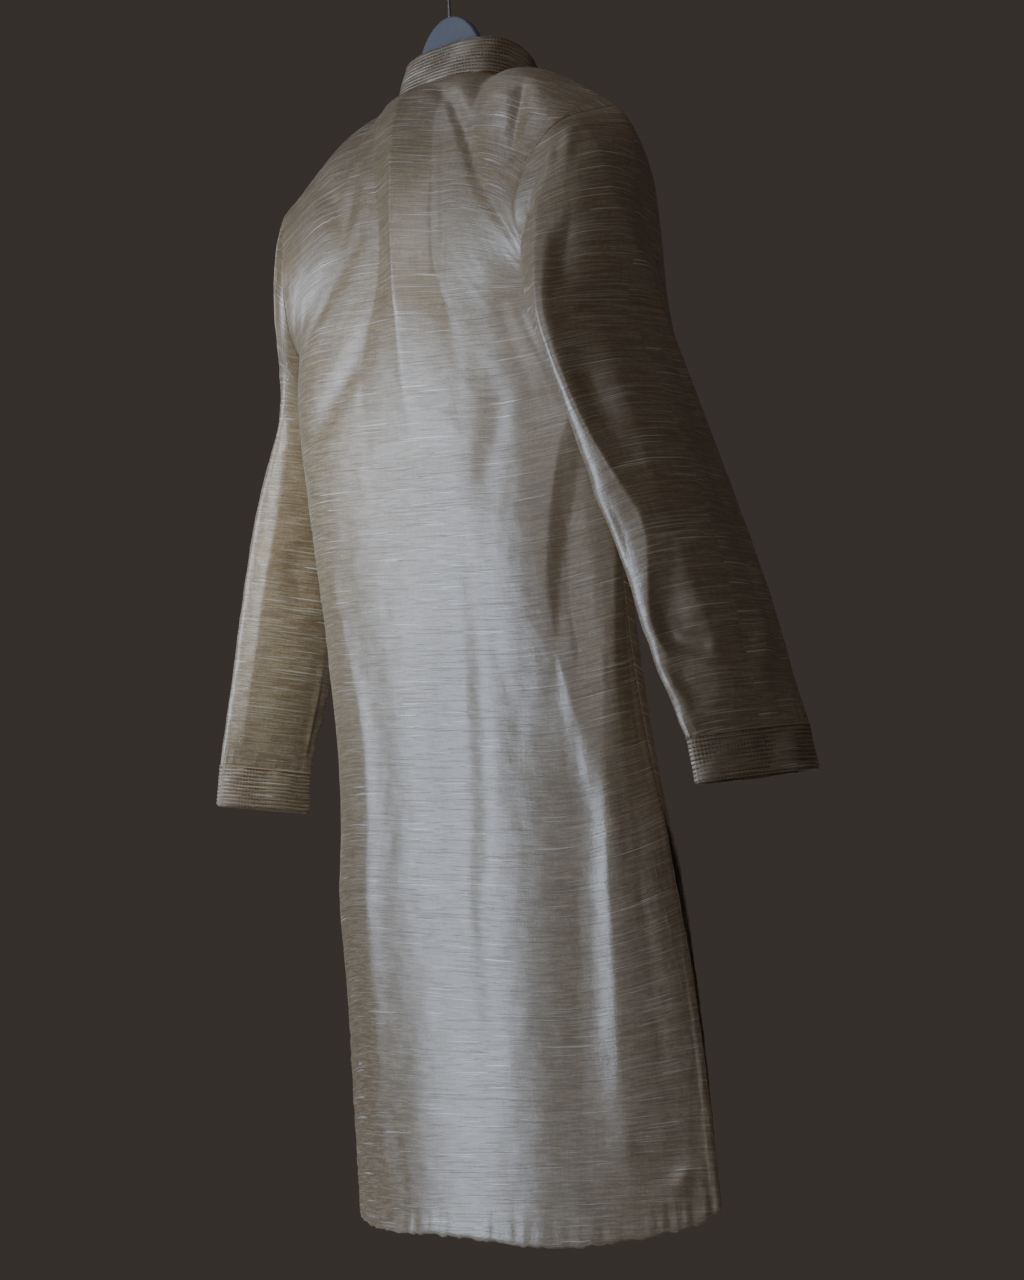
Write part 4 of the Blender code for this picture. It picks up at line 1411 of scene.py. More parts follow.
# --- The sewn body ---
@dataclass
class SewnBody:
    """Back, front and set-in sleeves: their cut, folds, hems and seams.

    An ease is how far from an edge a panel starts to give way: in metres at a slit or a turned
    edge, and otherwise in shares of the cloth, as u, v and w are.
    """

    shape: BodyShape = field(default_factory=BodyShape)
    columns: int = 150
    yoke_rows: int = 66
    skirt_rows: int = 176
    cap_rows: int = 50
    arm_rows: int = 104
    hem_depth: float = 0.010
    slit_turn: float = 0.008
    roll_height: float = 0.0009
    roll_fullness: float = 0.6
    grain_slope: float = -0.115
    grain_bend: float = 2.2
    grain_middle: float = 0.10
    grain_ease: float = 0.30
    relax_times: int = 24
    relax_least: float = 0.35
    relax_side_ease: float = 0.06
    relax_hem_ease: float = 0.02
    relax_armpit: float = 0.10
    top_ease: float = 0.08
    side_ease: float = 0.045
    slit_ease: float = 0.05
    corner_ease: float = 0.02
    ragged_depth: float = 0.014
    sleeve_relax: float = 0.8
    sleeve_top_ease: float = 0.20
    sleeve_end_ease: float = 0.10
    sleeve_fold_ease: float = 0.15
    sleeve_cuff_ease: float = 0.06
    gather_start: float = 0.004
    cloths: dict = field(default_factory=dict)

    def panel_flat(self, points: Array) -> Array:
        """Cloth positions of a panel's points, its weft level and its warp upright.

        Args:
            points: Points of the panel before its folds.

        Returns:
            Metres across and down the cloth.
        """
        down = travelled(points[..., 1:])
        down = down - down[self.yoke_rows] + YOKE_LENGTH
        middle = self.columns // 2
        across = travelled(points[..., :2], axis=1)
        across = (across - across[:, middle : middle + 1]) * np.sign(points[-1, -1, 0])
        chest = points[self.yoke_rows, :, 0]
        order = np.argsort(chest)
        yoke = points[: self.yoke_rows, :, 0]
        across[: self.yoke_rows] = np.interp(yoke, chest[order], across[self.yoke_rows][order])
        return stack(across, down)

    def grain(self, flat: Array) -> Array:
        """How far the weft has dropped off level across a panel, which the hem's edge has not.

        Args:
            flat: Cloth positions of the panel.

        Returns:
            The drop in metres at every position.
        """
        fade = smooth((flat[-1, :, 1] - flat[..., 1]) / self.grain_ease)
        across = flat[..., 0]
        right = self.grain_bend * np.minimum(across + self.grain_middle, 0) ** 2
        left = self.grain_bend / 2 * np.maximum(across - self.grain_middle, 0) ** 2
        return fade * (self.grain_slope * across - right + left)

    def roll(self, away: Array, depth: float) -> Array:
        """Rounded height of a turned edge by the distance from it."""
        return self.roll_height * np.sin(np.pi * np.clip(away / depth, 0, 1)) ** self.roll_fullness

    def panel(self, side: Side) -> Cloth:
        """Cuts and folds one body panel.

        Args:
            side: Half of the body that it covers.

        Returns:
            The panel, its rows running from the top edge down to the hem.
        """
        u = np.linspace(side.value, -side.value, self.columns + 1)
        u, v = np.meshgrid(u, rows_over(self.yoke_rows, self.skirt_rows))
        points = self.shape.panel(side, u, v)
        flat = self.panel_flat(points)
        spots = PANEL_SCALE.place(u, v)
        cloth = Cloth(side.name.lower(), points, flat, places=spots)
        hung = smooth((SLIT_LEVEL - points[..., 2]) / self.slit_ease)
        low = smooth(v / self.top_ease)
        inside = smooth((1 - abs(u)) / self.relax_side_ease) * low
        inside = inside * np.clip((2 - v) / self.relax_hem_ease, 0, 1)
        turn = np.exp(-(((v - 1) / self.relax_armpit) ** 2))
        give = self.relax_least + (1 - self.relax_least) * turn
        cloth.relax(inside * give, self.relax_times)
        heights = fold_heights(FOLDS[side], spots, PANEL_SCALE)
        heights += sum(crumple.heights(spots) for crumple in CRUMPLES[cloth.name])
        edge = smooth((1 - abs(u)) / self.side_ease)
        heights *= (edge + (1 - edge) * hung) * low
        down = flat[-1, :, 1] - flat[..., 1]
        heights += HEM_PUCKER.heights(flat[..., 0], abs(down - self.hem_depth))
        heights += self.roll(down, self.hem_depth)
        in_side = abs(flat[:, :1, 0]) - abs(flat[..., 0])
        away = abs(in_side - self.slit_turn)
        heights += hung * SLIT_PUCKER.heights(flat[..., 1] + np.sign(u), away)
        off_hem = 1 - smooth(1 - down / self.corner_ease)
        heights += hung * self.roll(in_side, self.slit_turn) * off_hem
        cloth.lift(heights)
        ragged = HEM_RAGGED.heights(flat[..., 0], down)
        cloth.points[..., 2] += ragged * smooth(1 - down / self.ragged_depth)
        cloth.normals = grid_normals(cloth.points)
        turned = (down < self.hem_depth) | ((hung > 0) & (in_side < self.slit_turn))
        cloth.wall[turned] = HEM_CLOTH
        cloth.flat = flat - stack(0.0, self.grain(flat))
        return cloth

    def sleeve(self, hand: Hand) -> Cloth:
        """Cuts and folds one sleeve.

        Args:
            hand: Arm that it is for.

        Returns:
            The sleeve, a tube whose rows run from the armhole down to the cuff.
        """
        count = 2 * self.yoke_rows
        share = np.arange(count) / count
        if hand is Hand.RIGHT:
            share = share[::-1]
        share, w = np.meshgrid(share, rows_over(self.cap_rows, self.arm_rows))
        points = SleeveShape(hand, self.shape).surface(w, share * 2 * np.pi)
        ends = np.concatenate([share, share[:, -1:] + hand.value / count], axis=1)
        run = travelled(points)
        run = run - run[-1]
        flat = stack(ends * SLEEVE_ROUND, np.concatenate([run, run[:, :1]], axis=1))
        cloth = Cloth(f"sleeve_{hand.name.lower()}", points, flat, closed=True)
        inside = smooth(w / self.sleeve_top_ease) * smooth((2 - w) / self.sleeve_end_ease)
        cloth.relax(inside * self.sleeve_relax, self.relax_times)
        for press in PRESSES[hand]:
            cloth.points = press.squeeze(cloth.points, share, w)
        for slack in SLACKS[hand]:
            cloth.points = cloth.points + slack.moves(share, w)
        cloth.normals = grid_normals(cloth.points, True)
        spots = SLEEVE_SCALE.place(share, w)
        heights = fold_heights(FOLDS[hand], spots, SLEEVE_SCALE)
        heights += sum(crumple.heights(spots) for crumple in CRUMPLES["sleeve"])
        heights *= smooth(w / self.sleeve_fold_ease)
        heights *= smooth((2 - w) / self.sleeve_cuff_ease)
        up = SLEEVE_SCALE.place(0.0, 2.0)[1] - spots[..., 1]
        gathers = CUFF_PUCKER.heights(spots[..., 0], up)
        cloth.lift(heights + gathers * smooth(up / self.gather_start))
        return cloth

    def seams(self) -> list:
        """Grid places that are sewn to each other.

        Returns:
            One list of (name, row, column) for each place where cloths meet.
        """
        back = self.cloths["back"].points
        last, rows = self.columns, self.yoke_rows
        seams = []
        for column in range(last + 1):
            if self.shape.neck_share - TINY <= abs(1 - 2 * column / last) < 1:
                seams.append([("back", 0, column), ("front", 0, last - column)])
        for row in range(rows + 1, len(back)):
            if back[row, 0, 2] > SLIT_LEVEL:
                seams.append([("back", row, 0), ("front", row, last)])
                seams.append([("back", row, last), ("front", row, 0)])
        count = 2 * rows
        for row in range(rows + 1):
            left, far_left = row % count, -row % count
            right, far_right = count - 1 - left, count - 1 - far_left
            meets = [
                [("back", row, 0), ("sleeve_left", 0, left)],
                [("front", row, last), ("sleeve_left", 0, far_left)],
                [("back", row, last), ("sleeve_right", 0, right)],
                [("front", row, 0), ("sleeve_right", 0, far_right)],
            ]
            if row in (0, rows):
                meets = [meets[1][:1] + meets[0], meets[3][:1] + meets[2]]
            seams += meets
        return seams

    def build(self, silk: Material) -> dict:
        """Cuts, folds and sews the body.

        Args:
            silk: Finish of the cloth.

        Returns:
            Its pieces by name.
        """
        cut = [*(self.panel(side) for side in Side), *(self.sleeve(hand) for hand in Hand)]
        self.cloths = {cloth.name: cloth for cloth in cut}
        sew(self.cloths, self.seams())
        return {name: cloth.shell(silk) for name, cloth in self.cloths.items()}

    def hem_lines(self, name: str, lift: float) -> list:
        """Stitch paths along the hem and both slits of a panel.

        Args:
            name: Name of the panel.
            lift: Height of the stitches over the cloth.

        Returns:
            The three paths.
        """
        cloth = self.cloths[name]
        spots = cloth.points + cloth.normals * lift
        down = cloth.flat[-1, 0, 1] - cloth.flat[:, 0, 1]
        hem = int(np.argmin(abs(down - self.hem_depth)))
        slit = int(np.argmax(spots[:, 0, 2] < SLIT_LEVEL - SLIT_TACK))
        across = abs(cloth.flat[-1, :, 0])
        side = abs(across[0] - across - self.slit_turn)
        half = len(side) // 2
        left, right = int(np.argmin(side[:half])), half + int(np.argmin(side[half:]))
        lines = [spots[hem, left : right + 1]]
        return lines + [spots[slit : hem + 1, column] for column in (left, right)]


# --- Stitched bands ---
@dataclass(frozen=True)
class Piping:
    """Cord over a band's seam: how far out and down it lies from the seam, and its radius."""

    out: float
    drop: float
    radius: float


COLLAR_PIPING = Piping(0.0006, 0.0004, 0.0011)
CUFF_PIPING = Piping(-0.0002, 0.0, 0.0010)
BAND_WOBBLE = 41


@dataclass
class RibbedBand:
    """Stiffened band with rows of stitching that leave rounded ribs between them.

    A closed band is sewn to the cloth by its top, and an open one by its foot.
    """

    name: str
    foot: Array
    rise: Array
    normals: Array
    closed: bool
    trim: Piping
    ribs: int = 10
    rib_height: float = 0.0009
    rib_fullness: float = 0.7
    rows_per_rib: int = 8
    quilt: float = 0.00025
    quilt_pitch: float = 0.0032
    edge_share: float = 0.045

    def ring(self, path: Array) -> Array:
        """Path along the band, brought back to its start where the band is closed."""
        return looped(path) if self.closed else path

    def surface(self) -> Cloth:
        """Shapes the band as a cloth, its foot first.

        Returns:
            The band's cloth, thicker at its ribs.
        """
        steps = np.linspace(0, 1, self.ribs * self.rows_per_rib + 1)
        run = travelled(self.ring(self.foot))
        flat = stack(run[None], steps[:, None] * np.linalg.norm(self.rise[0]))
        spots = flat[:, : len(self.foot)]
        inner = np.clip((steps - self.edge_share) / (1 - 2 * self.edge_share), 0, 1)
        rib = abs(np.sin(np.pi * inner * self.ribs)) ** self.rib_fullness
        beads = np.cos(2 * np.pi * spots[..., 0] / self.quilt_pitch) * rib[:, None]
        wobble = Crumple(BAND_WOBBLE, 0.0008, 0.012, 0.06, 1.0, 40, run[-1])
        raised = rib[:, None] * self.rib_height + beads * self.quilt + wobble.heights(spots)
        ends = np.minimum(steps, 1 - steps) * len(steps)
        raised = raised * np.clip(ends / 2, 0, 1)[:, None]
        points = self.foot[None] + self.rise[None] * steps[:, None, None]
        points = points + self.normals[None] * raised[..., None]
        cloth = Cloth(self.name, points, flat, self.closed, BAND_CLOTH + raised)
        cloth.normals = np.broadcast_to(self.normals[None], points.shape)
        return cloth

    def piping(self, finish: Material, sides: int = 8) -> Object:
        """Cord that covers the seam with the cloth.

        Args:
            finish: Its material.
            sides: Facets round it.

        Returns:
            The cord's object.
        """
        seam = self.foot + self.rise if self.closed else self.foot
        path = self.ring(seam + self.normals * self.trim.out - [0, 0, self.trim.drop])
        return tube(f"{self.name}_piping", path, self.trim.radius, sides, finish)

    def stitch_lines(self, lift: float) -> list:
        """Paths of the stitch rows, a little above the grooves."""
        shares = np.linspace(self.edge_share, 1 - self.edge_share, self.ribs + 1)
        return [self.ring(self.foot + self.rise * s + self.normals * lift) for s in shares]


@dataclass
class Collar:
    """Band collar that stands on the neckline, open at the throat."""

    shape: BodyShape
    height: float = 0.040
    forward: float = 0.012
    inward: float = 0.004
    end_gap: float = 0.006
    columns: int = 330
    samples: int = 1200

    def angles(self) -> Array:
        """Angles round the neck at even distances, right end first.

        Returns:
            One angle for each column.
        """
        end = math.pi - self.end_gap / 2 / self.shape.neck_half_width
        angles = np.linspace(end, -end, self.samples)
        run = travelled(self.shape.neck(angles))
        return np.interp(np.linspace(0, run[-1], self.columns + 1), run, angles)

    def band(self) -> RibbedBand:
        """The band on its foot line.

        Returns:
            The band.
        """
        angles = self.angles()
        foot = self.shape.neck(angles) + [0.0, 0.0, 2 * SEAM_GAP]
        x = np.sin(angles) / self.shape.neck_half_width
        y = np.cos(angles) / self.shape.neck_half_depth
        out = unit(stack(x, y, 0.0))
        rise = out * -self.inward + [0.0, -self.forward, self.height]
        return RibbedBand("collar", foot, rise, out, False, COLLAR_PIPING)


@dataclass
class Cuff:
    """Band cuff in line with the end of a sleeve."""

    sleeve: Cloth
    shape: SleeveShape
    height: float = 0.040
    columns: int = 230
    first_step: float = 1e-3

    def band(self) -> RibbedBand:
        """The band, its foot at the wrist's edge and its top by the sleeve.

        Returns:
            The band.
        """
        down = self.shape.run(np.array(self.shape.rings[-1].level))
        ring = resampled(looped(self.sleeve.points[-1]), self.first_step)
        ring = resampled(ring, travelled(ring)[-1] / self.columns)[:-1]
        across = np.roll(ring, -1, axis=0) - np.roll(ring, 1, axis=0)
        normals = unit(np.cross(np.broadcast_to(down, across.shape), across))
        foot = ring + down * (self.height + SEAM_GAP)
        rise = np.tile(down * -self.height, (len(foot), 1))
        name = self.sleeve.name.replace("sleeve", "cuff")
        return RibbedBand(name, foot, rise, normals, True, CUFF_PIPING)


# --- Stitches, piping and other lines ---
DOME_RINGS = ((-0.9, 0.45), (-0.5, 0.85))  # a tube's end: distance out and width, in radii
ASKEW = (0.31, 0.77, 0.55)


def tube(name: str, path: Array, radius: float, sides: int, finish: Material) -> Object:
    """Round tube with domed ends.

    Args:
        name: Name of the piece.
        path: Its centre line in garment positions.
        radius: Its radius.
        sides: Facets round it.
        finish: Its material.

    Returns:
        The tube's object.
    """
    along_path = unit(np.gradient(path, axis=0))
    side = unit(np.cross(along_path[0], ASKEW))
    angles = np.arange(sides) * 2 * np.pi / sides
    stations = [(path[0] + along_path[0] * radius * a, b, along_path[0]) for a, b in DOME_RINGS]
    stations += [(centre, 1.0, tangent) for centre, tangent in zip(path, along_path)]
    last = along_path[-1]
    stations += [(path[-1] - last * radius * a, b, last) for a, b in DOME_RINGS[::-1]]
    rings = []
    for centre, width, tangent in stations:
        side = unit(side - tangent * (side @ tangent))
        ring = np.cos(angles)[:, None] * side
        ring = ring + np.sin(angles)[:, None] * np.cross(tangent, side)
        rings.append(centre + ring * radius * width)
    starts = range(0, (len(rings) - 1) * sides, sides)
    around = [(k, (k + 1) % sides) for k in range(sides)]
    faces = [(r + k, r + j, r + sides + j, r + sides + k) for r in starts for k, j in around]
    faces.append(tuple(range(sides))[::-1])
    faces.append(tuple((len(rings) - 1) * sides + k for k in range(sides)))
    mesh = bpy.data.meshes.new(name)
    mesh.from_pydata((np.concatenate(rings) + PLACE).tolist(), [], faces)
    return finished(name, mesh, finish, outward=True)


@dataclass(frozen=True)
class Stitching:
    """Rows of short thread stitches laid along paths by Geometry Nodes.

    pitch and length are of one stitch; lift is how far its path lies over the cloth, and uneven
    is the smallest and largest share of its size that a stitch may have.
    """

    pitch: float
    length: float
    radius: float
    seed: int
    lift: float
    wander: float = 0.0001
    uneven: tuple = (0.85, 1.12)
    segments: int = 6
    rings: int = 4

    def tree(self, finish: Material) -> tuple:
        """Node tree that turns a mesh of paths into stitches.

        Args:
            finish: The thread's material.

        Returns:
            The tree, and the identifier of each of its named inputs.
        """
        group = bpy.data.node_groups.new("stitching", "GeometryNodeTree")
        names = {}
        for label, way, kind in (
            ("Geometry", "INPUT", "Geometry"),
            ("Pitch", "INPUT", "Float"),
            ("Size", "INPUT", "Vector"),
            ("Wander", "INPUT", "Float"),
            ("Seed", "INPUT", "Int"),
            ("Geometry", "OUTPUT", "Geometry"),
        ):
            socket = group.interface.new_socket(label, in_out=way, socket_type=f"NodeSocket{kind}")
            names.setdefault(label, socket.identifier)
        kinds = {
            "given": "NodeGroupInput",
            "curve": "GeometryNodeMeshToCurve",
            "even": "GeometryNodeResampleCurve",
            "stray": "FunctionNodeRandomValue",
            "strayed": "ShaderNodeVectorMath",
            "moved": "GeometryNodeSetPosition",
            "bead": "GeometryNodeMeshUVSphere",
            "way": "GeometryNodeInputTangent",
            "turn": "FunctionNodeAlignRotationToVector",
            "uneven": "FunctionNodeRandomValue",
            "size": "ShaderNodeVectorMath",
            "put": "GeometryNodeInstanceOnPoints",
            "real": "GeometryNodeRealizeInstances",
            "dye": "GeometryNodeSetMaterial",
            "made": "NodeGroupOutput",
        }
        nodes = {key: group.nodes.new(kind) for key, kind in kinds.items()}
        nodes["even"].mode = "LENGTH"
        nodes["stray"].data_type = "FLOAT_VECTOR"
        nodes["uneven"].data_type = "FLOAT"
        nodes["strayed"].operation = nodes["size"].operation = "SCALE"
        nodes["turn"].axis = "Z"
        for key, socket, value in (
            ("stray", 0, (-1.0, -1.0, -1.0)),
            ("uneven", 2, self.uneven[0]),
            ("uneven", 3, self.uneven[1]),
            ("bead", "Segments", self.segments),
            ("bead", "Rings", self.rings),
            ("bead", "Radius", 1.0),
            ("dye", "Material", finish),
        ):
            nodes[key].inputs[socket].default_value = value
        for start, output, end, socket in (
            ("given", "Geometry", "curve", "Mesh"),
            ("curve", "Curve", "even", "Curve"),
            ("given", "Pitch", "even", "Length"),
            ("given", "Seed", "stray", "Seed"),
            ("stray", 0, "strayed", 0),
            ("given", "Wander", "strayed", "Scale"),
            ("even", "Curve", "moved", "Geometry"),
            ("strayed", 0, "moved", "Offset"),
            ("way", 0, "turn", "Vector"),
            ("given", "Seed", "uneven", "Seed"),
            ("given", "Size", "size", 0),
            ("uneven", 1, "size", "Scale"),
            ("moved", "Geometry", "put", "Points"),
            ("bead", "Mesh", "put", "Instance"),
            ("turn", "Rotation", "put", "Rotation"),
            ("size", 0, "put", "Scale"),
            ("put", "Instances", "real", "Geometry"),
            ("real", "Geometry", "dye", "Geometry"),
            ("dye", "Geometry", "made", "Geometry"),
        ):
            group.links.new(nodes[start].outputs[output], nodes[end].inputs[socket])
        return group, names

    def build(self, name: str, paths: list, finish: Material) -> Object:
        """Sews stitches along paths.

        Args:
            name: Name of the piece.
            paths: Lines of garment positions.
            finish: The thread's material.

        Returns:
            The stitches as one object.
        """
        vertices, edges = [], []
        for path in paths:
            start = len(vertices)
            vertices += (path + PLACE).tolist()
            edges += [(start + i, start + i + 1) for i in range(len(path) - 1)]
        lines = bpy.data.meshes.new(name)
        lines.from_pydata(vertices, edges, [])
        item = placed(name, lines)
        group, names = self.tree(finish)
        sewing = item.modifiers.new("stitching", "NODES")
        sewing.node_group = group
        sewing[names["Pitch"]] = self.pitch
        sewing[names["Size"]] = (self.radius, self.radius, self.length / 2)
        sewing[names["Wander"]] = self.wander
        sewing[names["Seed"]] = self.seed
        return finished(name, plain(item), finish)


BAND_STITCHES = Stitching(0.0032, 0.0024, 0.00050, seed=5, lift=0.0003)
PLACKET_STITCHES = Stitching(0.0026, 0.0022, 0.0003, seed=6, lift=0.0002)
HEM_STITCHES = Stitching(0.0030, 0.0025, 0.00025, seed=9, lift=0.0001)


# --- Hanger ---
@dataclass
class Hanger:
    """Moulded hanger: a domed board with sloping arms, and a bent wire hook."""

    shape: BodyShape
    dome_half_width: float = 0.049
    dome_shoulder: float = 0.012
    dome_step: float = 0.004
    dome_fullness: float = 0.8
    thickness: float = 0.008
    half_length: float = 0.188
    depth: float = 0.026
    neck_depth: float = 0.014
    middle_depth: float = 0.002
    seat: float = 0.0002
    neck_drop: float = 0.018
    tip_drop: float = 0.010
    points: int = 26
    samples: int = 200
    edge_round: float = 0.0025
    edge_facets: int = 4
    edge_angle: float = 50.0
    smooth_angle: float = 30.0
    bend: float = 0.010
    start: float = -62.0
    end: float = 186.0
    stem_points: int = 6
    bow_points: int = 22
    wire_points: int = 160
    wire_sides: int = 16

    def outline(self) -> list:
        """Outline of the board, which stays under the shoulder seams.

        Returns:
            Corners (x, z) in order.
        """
        reach = np.linspace(0, 1, self.points)
        seam = np.linspace(self.shape.neck_share, 1, self.samples)
        line = self.shape.top_edge(Side.BACK, seam)
        start = self.dome_half_width + self.dome_shoulder
        x = start + (self.half_length - start) * reach
        clear = self.seat + self.neck_drop * (1 - reach) ** 3 + self.tip_drop * reach**2
        z = np.interp(x, line[:, 0], line[:, 2]) - CLOTH - clear
        foot = z[0] + self.dome_step
        angles = np.linspace(0, np.pi / 2, self.points)
        up = foot + (DOME_TOP - foot) * np.sin(angles) ** self.dome_fullness
        dome = list(zip(self.dome_half_width * np.cos(angles), up))
        upper = list(zip(x, z))
        lower = list(zip(x, z - self.depth - self.neck_depth * (1 - reach)))
        middle = (0.0, z[0] - self.depth - self.neck_depth - self.middle_depth)
        half = [*dome[::-1], *upper, *lower[::-1]]
        return [*half, middle, *((-x, z) for x, z in half[::-1] if x > TINY)]

    def board(self, finish: Material) -> Object:
        """Flat board with rounded edges.

        Args:
            finish: Its material.

        Returns:
            The board's object.
        """
        ring = self.outline()
        count = len(ring)
        faces = [tuple(range(count))[::-1], tuple(range(count, 2 * count))]
        for k in range(count):
            j = (k + 1) % count
            faces.append((k, j, count + j, count + k))
        near, far = HANGER_Y - self.thickness / 2, HANGER_Y + self.thickness / 2
        corners = np.array([(x, y, z) for y in (near, far) for x, z in ring])
        mesh = bpy.data.meshes.new("board")
        mesh.from_pydata((corners + PLACE).tolist(), [], faces)
        board = placed("board", mesh)
        rounding = board.modifiers.new("rounding", "BEVEL")
        rounding.width = self.edge_round
        rounding.segments = self.edge_facets
        rounding.limit_method = "ANGLE"
        rounding.angle_limit = math.radians(self.edge_angle)
        item = finished("hanger", plain(board), finish)
        item.data.set_sharp_from_angle(angle=math.radians(self.smooth_angle))
        return item

    def hook(self, finish: Material) -> Object:
        """Wire hook from the top of the dome.

        Args:
            finish: Its material.

        Returns:
            The hook's object.
        """
        middle = DOME_TOP + HOOK_STEM + HOOK_RADIUS
        top = middle - HOOK_RADIUS - self.bend
        stem = np.linspace(DOME_TOP + SEAM_GAP, top, self.stem_points)
        bow = np.radians(np.linspace(self.start, self.end, self.bow_points))
        places = [(0.0, z) for z in stem]
        places += [(HOOK_RADIUS * np.cos(a), middle + HOOK_RADIUS * np.sin(a)) for a in bow]
        route = curve_through(np.array(places), self.wire_points)
        path = stack(route[:, 0], HANGER_Y, route[:, 1])
        return tube("hook", path, HOOK_WIRE_RADIUS, self.wire_sides, finish)


# --- Placket and buttons ---
@dataclass(frozen=True)
class Turning:
    """Corner of a turned profile: its distance from the axis and its height."""

    out: float
    up: float


@dataclass
class Placket:
    """Stitched strip down the middle of the front, with its buttons."""

    front: Cloth
    top: float = 0.006
    end: float = 0.300
    half_width: float = 0.015
    wall: float = 0.0012
    gap: float = 0.0008
    button_rows: tuple = (1, 4, 8, 11)
    row_count: int = 12
    button_radius: float = 0.006
    button_height: float = 0.0028
    button_facets: int = 40
    profile: tuple = (
        Turning(0.00, 0.10),
        Turning(0.80, 0.02),
        Turning(0.95, 0.20),
        Turning(1.00, 0.50),
        Turning(0.97, 0.82),
        Turning(0.90, 1.00),
        Turning(0.80, 0.97),
        Turning(0.68, 0.78),
        Turning(0.45, 0.66),
        Turning(0.00, 0.62),
    )
    rows: int = 150
    columns: int = 16
    box_rows: int = 22

    def strip(self) -> Cloth:
        """Strip laid on the front's cloth, just clear of it.

        Returns:
            The strip's cloth.
        """
        places = self.front.places
        drops = np.linspace(self.top, self.end, self.rows + 1)
        across = np.linspace(-self.half_width, self.half_width, self.columns + 1)
        cells = self.front.points + self.front.normals * (self.gap + self.wall)
        at_u = np.interp(across, places[0, :, 0], np.arange(places.shape[1]))
        at_v = np.interp(drops, places[:, 0, 1], np.arange(places.shape[0]))
        c, r = at_u.astype(int), at_v.astype(int)
        s, t = (at_u - c)[None, :, None], (at_v - r)[:, None, None]
        upper = cells[np.ix_(r, c)] * (1 - s) + cells[np.ix_(r, c + 1)] * s
        lower = cells[np.ix_(r + 1, c)] * (1 - s) + cells[np.ix_(r + 1, c + 1)] * s
        points = upper * (1 - t) + lower * t
        wall = np.full(points.shape[:2], self.wall)
        return Cloth("placket", points, stack(across[None], drops[:, None]), wall=wall)

    def lines(self, strip: Cloth, lift: float) -> list:
        """Stitch paths down both sides, across the end and across the top of its box.

        Args:
            strip: The placket's cloth.
            lift: Height of the stitches over it.

        Returns:
            The four paths.
        """
        spots = strip.points + strip.normals * lift
        left, right, low = spots[:, 1], spots[:, -2], spots[-3]
        return [left[2:-2], right[2:-2], low[1:-1], spots[-self.box_rows, 1:-1]]

    def button(self, strip: Cloth, number: int, finish: Material) -> Object:
        """Turned button, with a rounded rim round its dished middle, on the strip.

        Args:
            strip: The placket's cloth.
            number: Which button it is, from 1 at the top.
            finish: Its material.

        Returns:
            The button's object.
        """
        row = round(self.button_rows[number - 1] / self.row_count * self.rows)
        seat, normal = (part[row, self.columns // 2] for part in (strip.points, strip.normals))
        steps = self.button_facets
        angles = np.arange(steps) * 2 * np.pi / steps
        out = np.array([p.out for p in self.profile[1:-1]]) * self.button_radius
        up = np.array([p.up for p in self.profile]) * self.button_height
        ring = stack(out[:, None] * np.cos(angles), out[:, None] * np.sin(angles), up[1:-1, None])
        vertices = [(0, 0, up[0]), *ring.reshape(-1, 3).tolist(), (0, 0, up[-1])]
        faces = []
        for k in range(steps):
            j = (k + 1) % steps
            faces.append((0, 1 + j, 1 + k))
            for a in range(1, 1 + (len(out) - 1) * steps, steps):
                faces.append((a + k, a + j, a + steps + j, a + steps + k))
            a = 1 + (len(out) - 1) * steps
            faces.append((a + k, a + j, len(vertices) - 1))
        turn = Vector((0, 0, 1)).rotation_difference(Vector(normal)).to_matrix().to_4x4()
        name = f"button_{number}_turned"
        mesh = bpy.data.meshes.new(name)
        mesh.from_pydata(vertices, [], faces)
        place = Vector(seat + normal * SEAM_GAP + PLACE)
        mesh.transform(Matrix.Translation(place) @ turn)
        return finished(name, mesh, finish, outward=True)


# --- Studio ---
class LampKind(Enum):
    """Kinds of light: a soft panel, or a soft-edged spotlight."""

    PANEL = "AREA"
    SPOT = "SPOT"


@dataclass(frozen=True)
class Lamp:
    """Light hung at a place and aimed at another, both garment positions.

    A panel's size is its width and height, and a spotlight's its radius and cone in degrees.
    """

    name: str
    kind: LampKind
    spot: tuple
    aim: tuple
    size: tuple
    power: float
    tint: tuple

    def build(self) -> None:
        """Hangs the light."""
        data = bpy.data.lights.new(self.name, self.kind.value)
        if self.kind is LampKind.PANEL:
            data.shape = "RECTANGLE"
            data.size, data.size_y = self.size
        else:
            data.shadow_soft_size, data.spot_size = self.size[0], math.radians(self.size[1])
            data.spot_blend = 1.0
        data.energy = self.power
        data.color = self.tint
        lamp = placed(self.name, data)
        lamp.location = Vector(self.spot) + Vector(PLACE)
        way = Vector(self.aim) - Vector(self.spot)
        lamp.rotation_euler = way.to_track_quat("-Z", "Y").to_euler()


PANEL, SPOT = LampKind.PANEL, LampKind.SPOT
MIDDLE = (0, 0, -0.6)
COOL, CLEAR, WARM = (0.72, 0.82, 1.0), (0.88, 0.92, 1.0), (1.0, 0.96, 0.92)
LAMPS = (
    Lamp("key", PANEL, (1.70, 2.30, -0.55), MIDDLE, (1.5, 1.7), 36, COOL),
    Lamp("fill", PANEL, (-0.8, 2.3, 0.4), MIDDLE, (0.9, 0.9), 5, (0.95, 0.94, 0.98)),
    Lamp("side", SPOT, (-0.78, 1.25, 0.30), (0.275, 0, -0.43), (0.15, 18), 100, (0.9, 0.95, 1.0)),
    Lamp("top", SPOT, (0.55, 0.95, 1.25), (-0.165, -0.01, -0.03), (0.1, 4.5), 60, CLEAR),
    Lamp("front", PANEL, (2.20, -1.50, 0.20), MIDDLE, (1.2, 1.2), 11, WARM),
)


